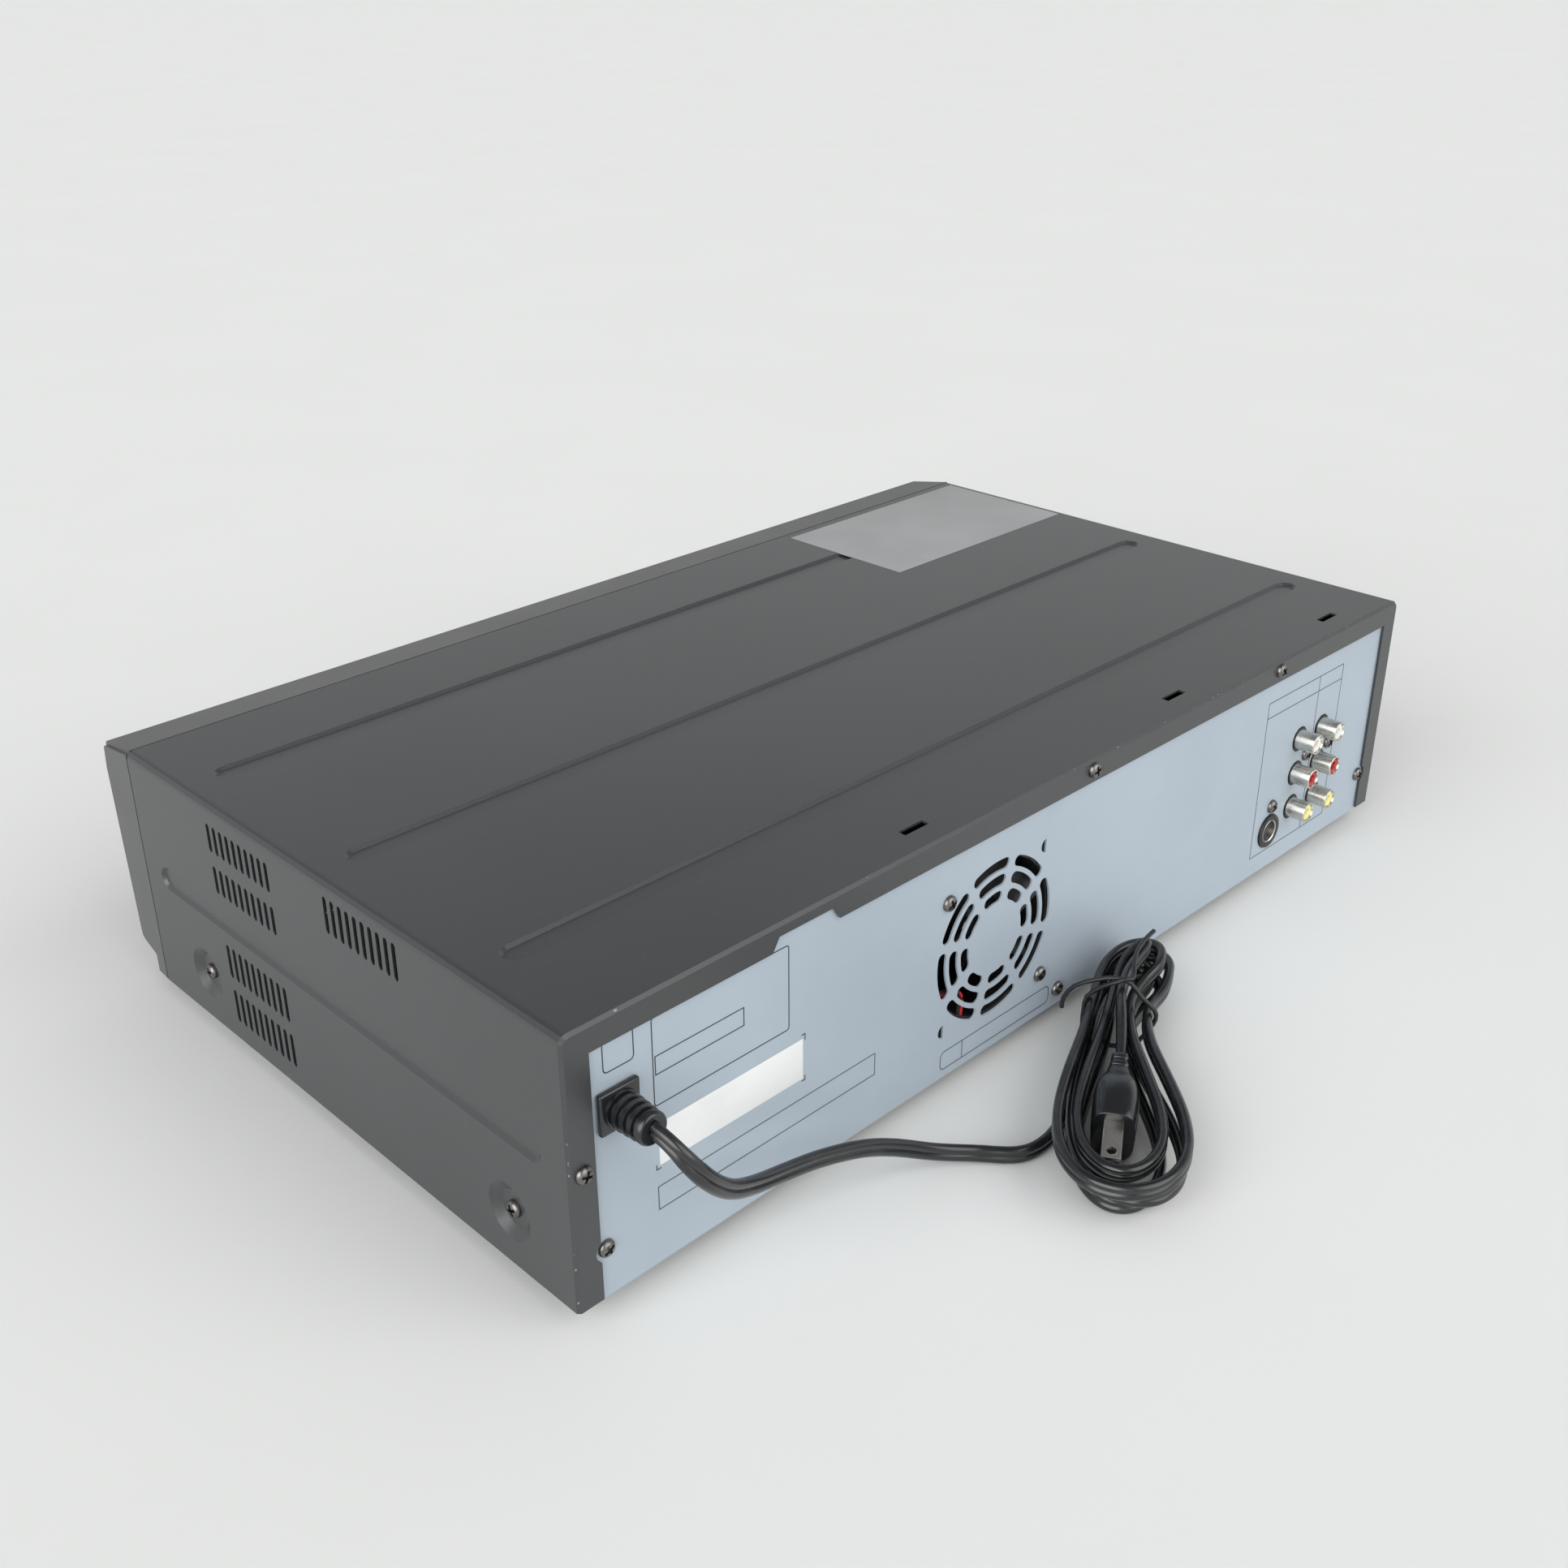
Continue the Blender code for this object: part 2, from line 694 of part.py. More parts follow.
def make_s_video_socket():
    front = PANEL_INNER_Y - GAP
    rear = PANEL_Y + S_VIDEO_REACH
    middle = (S_VIDEO_X, COVER_BOTTOM + S_VIDEO_HEIGHT)
    profile = (
        (0.0, front - S_VIDEO_BODY_DEPTH), (S_VIDEO_BODY_RADIUS, front - S_VIDEO_BODY_DEPTH),
        (S_VIDEO_BODY_RADIUS, front), (S_VIDEO_RADIUS, front), (S_VIDEO_RADIUS, rear),
        (S_VIDEO_RING_OUTER, rear), (S_VIDEO_RING_OUTER, rear - S_VIDEO_RING_DEPTH),
        (S_VIDEO_RING_INNER, rear - S_VIDEO_RING_DEPTH), (S_VIDEO_RING_INNER, rear - OVERRUN),
        (0.0, rear - OVERRUN),
    )
    mesh = turned(profile, "Y", middle, 16)
    return smooth(place("s_video_socket", mesh, black_plastic()))


def make_cord_bushing():
    """The strain relief: a plate on the panel, a ribbed sleeve outside and a neck inside."""
    middle = (BUSHING_X, COVER_BOTTOM + BUSHING_HEIGHT)
    start = PANEL_Y + GAP
    tip = PANEL_Y + BUSHING_REACH
    low = (middle[0] - BUSHING_PLATE_WIDTH / 2, middle[1] - BUSHING_PLATE_HEIGHT / 2)
    high = (middle[0] + BUSHING_PLATE_WIDTH / 2, middle[1] + BUSHING_PLATE_HEIGHT / 2)
    outline = rounded_box(low, high, BUSHING_PLATE_DEPTH / 2, 2)
    plate = prism(outline, "Y", start, start + BUSHING_PLATE_DEPTH)
    profile = [(0.0, PANEL_INNER_Y - BUSHING_INNER_REACH)]
    profile.append((BUSHING_TIP_RADIUS, PANEL_INNER_Y - BUSHING_INNER_REACH))
    profile.append((BUSHING_RADIUS, PANEL_INNER_Y))
    rib_start = start + BUSHING_PLATE_DEPTH
    pitch = (tip - rib_start) / (2 * BUSHING_RIBS + 1)
    for i in range(2 * BUSHING_RIBS + 1):
        share = i / (2 * BUSHING_RIBS + 1)
        radius = BUSHING_RADIUS + (BUSHING_TIP_RADIUS - BUSHING_RADIUS) * share
        if i % 2:
            radius -= BUSHING_GROOVE
        profile.append((radius, rib_start + i * pitch))
        profile.append((radius, rib_start + (i + 1) * pitch))
    profile.append((0.0, tip))
    sleeve = turned(profile, "Y", middle, 12)
    return smooth(place("cord_bushing", fuse(sleeve, plate), black_rubber()), 50.0)


# Fan

FAN_HUB_RADIUS = 0.0125
FAN_HUB_WALL = 0.0025
FAN_STRUT_WIDTH = 0.004
FAN_STRUTS = 4
FAN_PIN_RADIUS = 0.0015
FAN_PIN_LENGTH = 0.007
FAN_PIN_CLEARANCE = 0.0003
FAN_ROTOR_DEPTH = 0.011
FAN_BLADES = 7
FAN_BLADE_WALL = 0.0012
FAN_BLADE_TWIST = 28.0
FAN_BLADE_TIP_GAP = 0.001


def fan_places():
    """Front, back and axis of the fan, whose frame lies against the panel."""
    back = PANEL_INNER_Y - GAP
    return back - FAN_DEPTH, back, (FAN_X, COVER_BOTTOM + FAN_HEIGHT)


def make_fan_frame():
    front, back, middle = fan_places()
    half = FAN_SIZE / 2
    low = (middle[0] - half, middle[1] - half)
    high = (middle[0] + half, middle[1] + half)
    frame = prism(rounded_box(low, high, FAN_CORNER, 2), "Y", front, back)
    bore = prism(circle(middle, FAN_BORE_RADIUS, 28), "Y", front - OVERRUN, back + OVERRUN)
    frame = cut(frame, bore)
    hub = prism(circle(middle, FAN_HUB_RADIUS, 16), "Y", front, front + FAN_HUB_WALL)
    arm = FAN_STRUT_WIDTH / 2
    reach = FAN_BORE_RADIUS + OVERRUN
    bar = block((-arm, front, -reach), (arm, front + FAN_HUB_WALL, reach))
    cross = []
    for turn in range(FAN_STRUTS // 2):
        angle = math.radians(360.0 / FAN_STRUTS * turn + 180.0 / FAN_STRUTS)
        spin = Matrix.Rotation(angle, 4, "Y")
        shift = Matrix.Translation((middle[0], 0.0, middle[1]))
        cross.append(moved(bar.copy(), shift @ spin))
    pin_end = front + FAN_HUB_WALL + FAN_PIN_LENGTH
    pin = prism(circle(middle, FAN_PIN_RADIUS, 8), "Y", front + FAN_HUB_WALL / 2, pin_end)
    frame = fuse(frame, cross[0], cross[1], hub, pin)
    return place("fan_frame", frame, black_plastic())


def fan_blade(front, back, angle):
    """One swept blade from inside the hub's rim to the tip circle, about the origin."""
    rings = []
    for radius in (FAN_HUB_RADIUS - FAN_BLADE_WALL, FAN_BORE_RADIUS - FAN_BLADE_TIP_GAP):
        lead = FAN_BLADE_TWIST * FAN_HUB_RADIUS / radius
        ring = []
        for along, turn in ((front, -lead), (back, lead)):
            for shift in (-FAN_BLADE_WALL / 2, FAN_BLADE_WALL / 2):
                around = math.radians(angle + turn) + shift / radius
                ring.append((radius * math.cos(around), along, radius * math.sin(around)))
        rings.append([ring[0], ring[1], ring[3], ring[2]])
    return loft(rings)


def make_fan_rotor():
    front, back, middle = fan_places()
    start = front + FAN_HUB_WALL + GAP
    end = start + FAN_ROTOR_DEPTH
    bore = FAN_PIN_RADIUS + FAN_PIN_CLEARANCE
    bore_end = start + FAN_PIN_LENGTH + FAN_PIN_CLEARANCE
    drum = prism(circle((0.0, 0.0), FAN_HUB_RADIUS, 16), "Y", start, end)
    hub = cut(drum, prism(circle((0.0, 0.0), bore, 8), "Y", start - OVERRUN, bore_end))
    edge = FAN_BLADE_WALL / 2
    for i in range(FAN_BLADES):
        hub = fuse(hub, fan_blade(start + edge, end - edge, 360.0 * i / FAN_BLADES))
    hub.transform(Matrix.Translation((middle[0], 0.0, middle[1])))
    return place("fan_rotor", hub, black_plastic(), (middle[0], (start + end) / 2, middle[1]))


# Front moulding, worked in a frame on its leaning face: X across, V up the face, W out of it

DOOR_X = -0.106
DOOR_WIDTH = 0.194
DOOR_HEIGHT = 0.032
DOOR_LOW = 0.0405
DOOR_WALL = 0.0022
DOOR_SETBACK = 0.0003
DOOR_PIVOT_DROP = 0.0020
DOOR_PIVOT_DEPTH = 0.0040
DOOR_BARREL_RADIUS = 0.0017
DOOR_PIN_RADIUS = 0.0012
DOOR_PIN_LENGTH = 0.0025
DOOR_ROUND = 0.0010
EAR_WALL = 0.003
EAR_RADIUS = 0.0034
PLUG_CLEARANCE = 0.0004
WINDOW_X = 0.110
WINDOW_WIDTH = 0.116
WINDOW_HEIGHT = 0.015
WINDOW_LOW = 0.0365
WINDOW_RISE = -0.0004
WINDOW_FLANGE = 0.002
WINDOW_FLANGE_WALL = 0.0015
WINDOW_ROUND = 0.002
LID_X = 0.110
LID_WIDTH = 0.140
LID_HEIGHT = 0.0180
LID_LOW = 0.0565
LID_WALL = 0.0040
LID_ROUND = 0.002
BUTTON_WIDTH = 0.012
BUTTON_HEIGHT = 0.006
BUTTON_RISE = 0.0012
BUTTON_EDGE = 0.0005
BUTTON_ROUND = 0.0012
BUTTON_FLANGE = 0.0012
BUTTON_FLANGE_WALL = 0.0012
BUTTON_STEM = 0.0015
BUTTON_STEM_LENGTH = 0.006
BUTTON_TRAVEL = 0.0008
BUTTON_ROW = 0.0225
POWER_BUTTON_WIDTH = 0.016
SWITCH_SIZE = 0.006
SWITCH_HEIGHT = 0.0025
BUTTON_BOARD_WALL = 0.0016
BUTTON_BOARD_LOW = 0.0115
BUTTON_BOARD_HIGH = 0.0300
BUTTON_BOARD_LEFT = -0.208
BUTTON_BOARD_RIGHT = 0.205
BOARD_POST_X = (-0.2045, -0.030, 0.060, 0.202)
FRONT_JACK_X = 0.012
FRONT_JACK_PITCH = 0.014
FRONT_JACK_RADIUS = 0.0046
FRONT_JACK_BORE = 0.0018
FRONT_JACK_HEIGHT = 0.013
FRONT_JACK_MARGIN = 0.007
BUTTON_PLACES = (
    ("power_button", -0.190, POWER_BUTTON_WIDTH),
    ("tape_eject_button", -0.165, BUTTON_WIDTH),
    ("rewind_button", -0.138, BUTTON_WIDTH),
    ("play_button", -0.120, BUTTON_WIDTH),
    ("fast_forward_button", -0.102, BUTTON_WIDTH),
    ("stop_button", -0.084, BUTTON_WIDTH),
    ("record_button", -0.066, BUTTON_WIDTH),
    ("source_button", 0.168, BUTTON_WIDTH),
    ("disc_eject_button", 0.190, BUTTON_WIDTH),
)

BEZEL_BACK_Y = SEAM_Y - SEAM_GAP
FACE_LOW = Vector((0.0, SEAM_Y - CHIN_REACH, COVER_BOTTOM + CHIN_HEIGHT))
FACE_HIGH = Vector((0.0, SEAM_Y - BEZEL_DEPTH, COVER_TOP - BEZEL_DROP))
FACE_UP = (FACE_HIGH - FACE_LOW).normalized()
FACE_OUT = Vector((1.0, 0.0, 0.0)).cross(FACE_UP)
FLANGE_FRONT = -BEZEL_WALL - GAP
STEM_END = FLANGE_FRONT - BUTTON_FLANGE_WALL - BUTTON_STEM_LENGTH
SWITCH_TOP = STEM_END - BUTTON_TRAVEL - GAP
BUTTON_BOARD_FRONT = SWITCH_TOP - SWITCH_HEIGHT


def face_matrix():
    """From the leaning face's own frame to the world."""
    columns = (Vector((1.0, 0.0, 0.0)), FACE_UP, FACE_OUT, FACE_LOW)
    rows = [[column[i] for column in columns] for i in range(3)]
    rows.append([0.0, 0.0, 0.0, 1.0])
    return Matrix(rows)


def on_face(mesh):
    return moved(mesh, face_matrix())


def face_place(x, v, w):
    return tuple(face_matrix() @ Vector((x, v, w)))


def rounded(points, radii, steps):
    """An outline with some of its corners turned into arcs."""
    result = []
    count = len(points)
    for i in range(count):
        corner = Vector(points[i])
        radius = radii[i]
        if radius == 0.0:
            result.append(tuple(corner))
            continue
        before = (Vector(points[i - 1]) - corner).normalized()
        after = (Vector(points[(i + 1) % count]) - corner).normalized()
        half = before.angle(after) / 2
        reach = radius / math.tan(half)
        middle = corner + (before + after).normalized() * (radius / math.sin(half))
        start = corner + before * reach - middle
        end = corner + after * reach - middle
        turn = math.atan2(start.x * end.y - start.y * end.x, start.dot(end))
        base = math.atan2(start.y, start.x)
        for k in range(steps + 1):
            angle = base + turn * k / steps
            result.append((middle.x + radius * math.cos(angle), middle.y + radius * math.sin(angle)))
    return result


def bezel_outline():
    """The moulding's outer section in Y and Z."""
    points = [
        (BEZEL_BACK_Y, COVER_TOP),
        (FACE_HIGH.y, FACE_HIGH.z),
        (FACE_LOW.y, FACE_LOW.z),
        (SEAM_Y - LIP_DEPTH, COVER_BOTTOM + LIP_HEIGHT),
        (SEAM_Y - LIP_DEPTH, COVER_BOTTOM),
        (BEZEL_BACK_Y, COVER_BOTTOM),
    ]
    return rounded(points, (0.0, BEZEL_ROUND, BEZEL_ROUND, 0.0, 0.0, 0.0), 4)


def bezel_side(y, inset):
    """Half the moulding's width at a depth: its sides are drafted in to the front."""
    return SIDE_X - inset - BEZEL_DRAFT * (SEAM_Y - y) / BEZEL_DEPTH


def bezel_body():
    outline = bezel_outline()
    rings = [[(side * bezel_side(y, 0.0), y, z) for y, z in outline] for side in (-1.0, 1.0)]
    body = loft(rings)
    build = bmesh.new()
    build.from_mesh(body)
    near = SIDE_X - 2 * BEZEL_DRAFT
    top = COVER_TOP - BEZEL_DROP - BEZEL_ROUND
    edges = []
    for edge in build.edges:
        ends = [vert.co for vert in edge.verts]
        on_side = all(abs(end.x) > near for end in ends) and ends[0].x * ends[1].x > 0.0
        if on_side and all(end.z > top for end in ends) and abs(ends[0].z - ends[1].z) > 0.0:
            edges.append(edge)
    bmesh.ops.bevel(build, geom=edges, offset=BEZEL_ROUND / 2, segments=2, affect="EDGES")
    return mesh_of(build)


def bezel_cavity():
    back = SEAM_Y + OVERRUN
    lower = COVER_BOTTOM + LIP_HEIGHT + BEZEL_WALL
    outline = [
        (back, COVER_TOP - BEZEL_WALL),
        (FACE_HIGH.y + BEZEL_WALL, FACE_HIGH.z - BEZEL_WALL / 2),
        (FACE_LOW.y + BEZEL_WALL, FACE_LOW.z + BEZEL_WALL / 2),
        (FACE_LOW.y + BEZEL_WALL * 2, lower),
        (back, lower),
    ]
    rings = []
    for side in (-1.0, 1.0):
        rings.append([(side * bezel_side(y, BEZEL_WALL), y, z) for y, z in outline])
    return loft(rings)


def bezel_tongue():
    """The step round the back of the moulding that the cover slides over."""
    outer = SIDE_X - SHEET - GAP
    inner = outer - TONGUE_WALL
    top = COVER_TOP - SHEET - GAP
    low = PAN_TOP + PAN_WALL_HEIGHT + 2 * GAP
    arch = [
        (outer, low), (outer, top), (-outer, top), (-outer, low),
        (-inner, low), (-inner, top - TONGUE_WALL), (inner, top - TONGUE_WALL), (inner, low),
    ]
    radii = [0.0, BEND_RADIUS - SHEET, BEND_RADIUS - SHEET, 0.0, 0.0, 0.0, 0.0, 0.0]
    return prism(rounded(arch, radii, 2), "Y", SEAM_Y - BEZEL_WALL * 2, SEAM_Y + TONGUE)


def face_hole(x, v, width, height, radius, clearance):
    low = (x - width / 2 - clearance, v - height / 2 - clearance)
    high = (x + width / 2 + clearance, v + height / 2 + clearance)
    outline = rounded_box(low, high, radius + clearance, 1)
    return on_face(prism(outline, "Z", -BEZEL_WALL * 2, OVERRUN))


def front_jack_places():
    return [(FRONT_JACK_X + i * FRONT_JACK_PITCH, FRONT_JACK_HEIGHT) for i in (-1, 0, 1)]


def bezel_cutters():
    tools = [
        face_hole(DOOR_X, DOOR_LOW + DOOR_HEIGHT / 2, DOOR_WIDTH, DOOR_HEIGHT, 0.0, PLUG_CLEARANCE),
        face_hole(LID_X, LID_LOW + LID_HEIGHT / 2, LID_WIDTH, LID_HEIGHT, LID_ROUND, PLUG_CLEARANCE),
        face_hole(WINDOW_X, WINDOW_LOW + WINDOW_HEIGHT / 2, WINDOW_WIDTH, WINDOW_HEIGHT,
                  WINDOW_ROUND, PLUG_CLEARANCE),
    ]
    for _, x, width in BUTTON_PLACES:
        tools.append(face_hole(x, BUTTON_ROW, width, BUTTON_HEIGHT, BUTTON_ROUND, PLUG_CLEARANCE))
    for middle in front_jack_places():
        outline = circle(middle, FRONT_JACK_RADIUS + PLUG_CLEARANCE, 12)
        tools.append(on_face(prism(outline, "Z", -BEZEL_WALL * 2, OVERRUN)))
    return tools


def door_pivot():
    """The door's hinge line in V and W."""
    return DOOR_LOW + DOOR_HEIGHT - DOOR_PIVOT_DROP, -DOOR_PIVOT_DEPTH


def door_ears():
    """Two ears behind the moulding's wall that hold the door's pins."""
    v, w = door_pivot()
    ears = []
    for side in (-1.0, 1.0):
        start = DOOR_X + side * (DOOR_WIDTH / 2 + PLUG_CLEARANCE)
        end = start + side * EAR_WALL
        root = -BEZEL_WALL / 2
        outline = [(v - EAR_RADIUS, root)] + arc((v, w), EAR_RADIUS, 180.0, 360.0, 6)
        outline.append((v + EAR_RADIUS, root))
        ear = prism(outline, "X", start, end)
        bore = circle((v, w), DOOR_PIN_RADIUS + GAP, 8)
        hole = prism(bore, "X", start - side * OVERRUN, end + side * OVERRUN)
        ears.append(on_face(cut(ear, hole)))
    return ears


def board_posts():
    posts = []
    v = (BUTTON_BOARD_LOW + BUTTON_BOARD_HIGH) / 2
    for x in BOARD_POST_X:
        outline = circle((x, v + POST_RADIUS), POST_RADIUS, POST_SIDES)
        posts.append(on_face(prism(outline, "Z", BUTTON_BOARD_FRONT + GAP, -BEZEL_WALL / 2)))
    return posts


def make_front_bezel():
    body = cut(bezel_body(), bezel_cavity())
    body = fuse(body, bezel_tongue(), *board_posts())
    body = cut(body, *bezel_cutters())
    body = fuse(body, *door_ears())
    return place("front_bezel", body, dark_plastic())


def plug_rings(x, v, steps):
    """Rings for a stepped piece: (half width, half height, corner radius, w) for each step."""
    rings = []
    for half_x, half_v, radius, w in steps:
        low, high = (x - half_x, v - half_v), (x + half_x, v + half_v)
        rings.append([(a, b, w) for a, b in rounded_box(low, high, radius, 1)])
    return rings


def make_button(name, x, width):
    """A push button: cap, flange behind the wall and a stem that reaches its switch."""
    half_x, half_v = width / 2, BUTTON_HEIGHT / 2
    flange_x, flange_v = half_x + BUTTON_FLANGE, half_v + BUTTON_FLANGE
    flange_back = FLANGE_FRONT - BUTTON_FLANGE_WALL
    stem = BUTTON_STEM
    steps = (
        (stem, stem, stem / 2, STEM_END),
        (stem, stem, stem / 2, flange_back),
        (flange_x, flange_v, BUTTON_ROUND, flange_back),
        (flange_x, flange_v, BUTTON_ROUND, FLANGE_FRONT),
        (half_x, half_v, BUTTON_ROUND, FLANGE_FRONT),
        (half_x, half_v, BUTTON_ROUND, BUTTON_RISE - BUTTON_EDGE),
        (half_x - BUTTON_EDGE, half_v - BUTTON_EDGE, BUTTON_ROUND - BUTTON_EDGE, BUTTON_RISE),
    )
    mesh = on_face(loft(plug_rings(x, BUTTON_ROW, steps)))
    return place(name, mesh, grey_plastic(), face_place(x, BUTTON_ROW, 0.0))


def make_display_window():
    half_x, half_v = WINDOW_WIDTH / 2, WINDOW_HEIGHT / 2
    flange_x, flange_v = half_x + WINDOW_FLANGE, half_v + WINDOW_FLANGE
    steps = (
        (flange_x, flange_v, WINDOW_ROUND, FLANGE_FRONT - WINDOW_FLANGE_WALL),
        (flange_x, flange_v, WINDOW_ROUND, FLANGE_FRONT),
        (half_x, half_v, WINDOW_ROUND, FLANGE_FRONT),
        (half_x, half_v, WINDOW_ROUND, WINDOW_RISE),
    )
    mesh = on_face(loft(plug_rings(WINDOW_X, WINDOW_LOW + half_v, steps)))
    return place("display_window", mesh, smoked_plastic())


def make_cassette_door():
    """A flap with a barrel along its top that carries a pin at each end."""
    v, w = door_pivot()
    front, back = -DOOR_SETBACK, -DOOR_SETBACK - DOOR_WALL
    start, end = DOOR_X - DOOR_WIDTH / 2, DOOR_X + DOOR_WIDTH / 2
    low, high = DOOR_LOW, DOOR_LOW + DOOR_HEIGHT
    section = [(low, back), (low, front), (high - DOOR_ROUND, front), (high, front - DOOR_ROUND)]
    section += arc((v, w), DOOR_BARREL_RADIUS + GAP, 30.0, -150.0, 5)
    section += [(v - DOOR_BARREL_RADIUS * 2, back)]
    leaf = prism(section, "X", start, end)
    pin = prism(circle((v, w), DOOR_PIN_RADIUS, 8), "X", start - DOOR_PIN_LENGTH, end + DOOR_PIN_LENGTH)
    mesh = on_face(fuse(leaf, pin))
    return place("cassette_door", mesh, dark_plastic(), face_place(DOOR_X, v, w))


def make_button_board():
    """The board behind the front, with a switch for each button."""
    front = BUTTON_BOARD_FRONT
    back = front - BUTTON_BOARD_WALL
    low = (BUTTON_BOARD_LEFT, BUTTON_BOARD_LOW, back)
    board = block(low, (BUTTON_BOARD_RIGHT, BUTTON_BOARD_HIGH, front))
    half = SWITCH_SIZE / 2
    switches = []
    for _, x, _ in BUTTON_PLACES:
        root = front - BUTTON_BOARD_WALL / 2
        high = (x + half, BUTTON_ROW + half, SWITCH_TOP)
        switches.append(block((x - half, BUTTON_ROW - half, root), high))
    return place("button_board", on_face(fuse(board, *switches)), board_green())


def make_front_jack_block():
    """Three sockets in one moulding between the front wall and the board behind it."""
    places = front_jack_places()
    front = -BEZEL_WALL - GAP
    back = BUTTON_BOARD_FRONT + GAP
    left, right = places[0][0] - FRONT_JACK_MARGIN, places[-1][0] + FRONT_JACK_MARGIN
    low = (left, BUTTON_BOARD_LOW, back)
    body = block(low, (right, FRONT_JACK_HEIGHT + FRONT_JACK_MARGIN, front))
    bosses = [prism(circle(p, FRONT_JACK_RADIUS, 12), "Z", front - OVERRUN, 0.0) for p in places]
    bores = []
    for p in places:
        outline = circle(p, FRONT_JACK_BORE, 8)
        bores.append(prism(outline, "Z", front - OVERRUN * 4, OVERRUN))
    body = cut(fuse(body, *bosses), *bores)
    return place("front_jack_block", on_face(body), black_plastic())


# Cassette mechanism

DECK_X = -0.105
DECK_HALF = 0.100
DECK_SHEET = 0.0012
DECK_HEIGHT = 0.018
DECK_WALL_TOP = 0.086
DECK_START = 0.012
DECK_WALL_END = 0.178
DECK_END = 0.2215
CARRIAGE_START = 0.0155
CARRIAGE_LENGTH = 0.103
CARRIAGE_STROKE = 0.050
CARRIAGE_BOTTOM = 0.0505
CARRIAGE_HEIGHT = 0.030
CARRIAGE_SHEET = 0.0012
CARRIAGE_HALF = 0.0957
CARRIAGE_LIP = 0.012
CARRIAGE_STOP = 0.010
CARRIAGE_PIN_RADIUS = 0.0015
CARRIAGE_PIN_SHARES = (0.12, 0.88)
PIN_REACH = 0.0006
DRUM_Y = 0.188
DRUM_RADIUS = 0.031
DRUM_BASE_HEIGHT = 0.0115
DRUM_HEIGHT = 0.0125
DRUM_TILT = 5.0
DRUM_EDGE = 0.0006
SPINDLE_PIN_RADIUS = 0.0015
SPINDLE_PIN_HEIGHT = 0.009
REEL_SPACING = 0.092
REEL_Y = 0.112
REEL_RADIUS = 0.022
REEL_DISC = 0.003
REEL_HUB_RADIUS = 0.009
REEL_HUB_HEIGHT = 0.007
REEL_SPINDLE_RADIUS = 0.0045
REEL_HEIGHT = 0.020
CAPSTAN_X = 0.060
CAPSTAN_Y = 0.165
CAPSTAN_RADIUS = 0.002
CAPSTAN_TOP = 0.046
FLYWHEEL_RADIUS = 0.020
FLYWHEEL_BOTTOM = 0.007
FLYWHEEL_TOP = 0.014
ROLLER_RADIUS = 0.006
ROLLER_START = 0.028
ROLLER_END = 0.040
COLLAR_RADIUS = 0.004
GUIDE_RADIUS = 0.002
GUIDE_TOP = 0.042
GUIDE_SHARES = ((-0.42, 0.150), (0.42, 0.150), (-0.36, 0.200), (0.36, 0.203))
PLATE_Z = COVER_BOTTOM + DECK_HEIGHT
PLATE_TOP = PLATE_Z + DECK_SHEET
PIN_Z = COVER_BOTTOM + CARRIAGE_BOTTOM + CARRIAGE_HEIGHT / 2


def roller_place():
    reach = CAPSTAN_RADIUS + ROLLER_RADIUS + GAP
    return DECK_X + CAPSTAN_X - reach, SEAM_Y + CAPSTAN_Y


def stepped_pin(middle, low, shoulder, top, collar, radius):
    """A pin that stands on a wider collar."""
    profile = ((0.0, low), (collar, low), (collar, shoulder), (radius, shoulder), (radius, top), (0.0, top))
    return turned(profile, "Z", middle, 8)


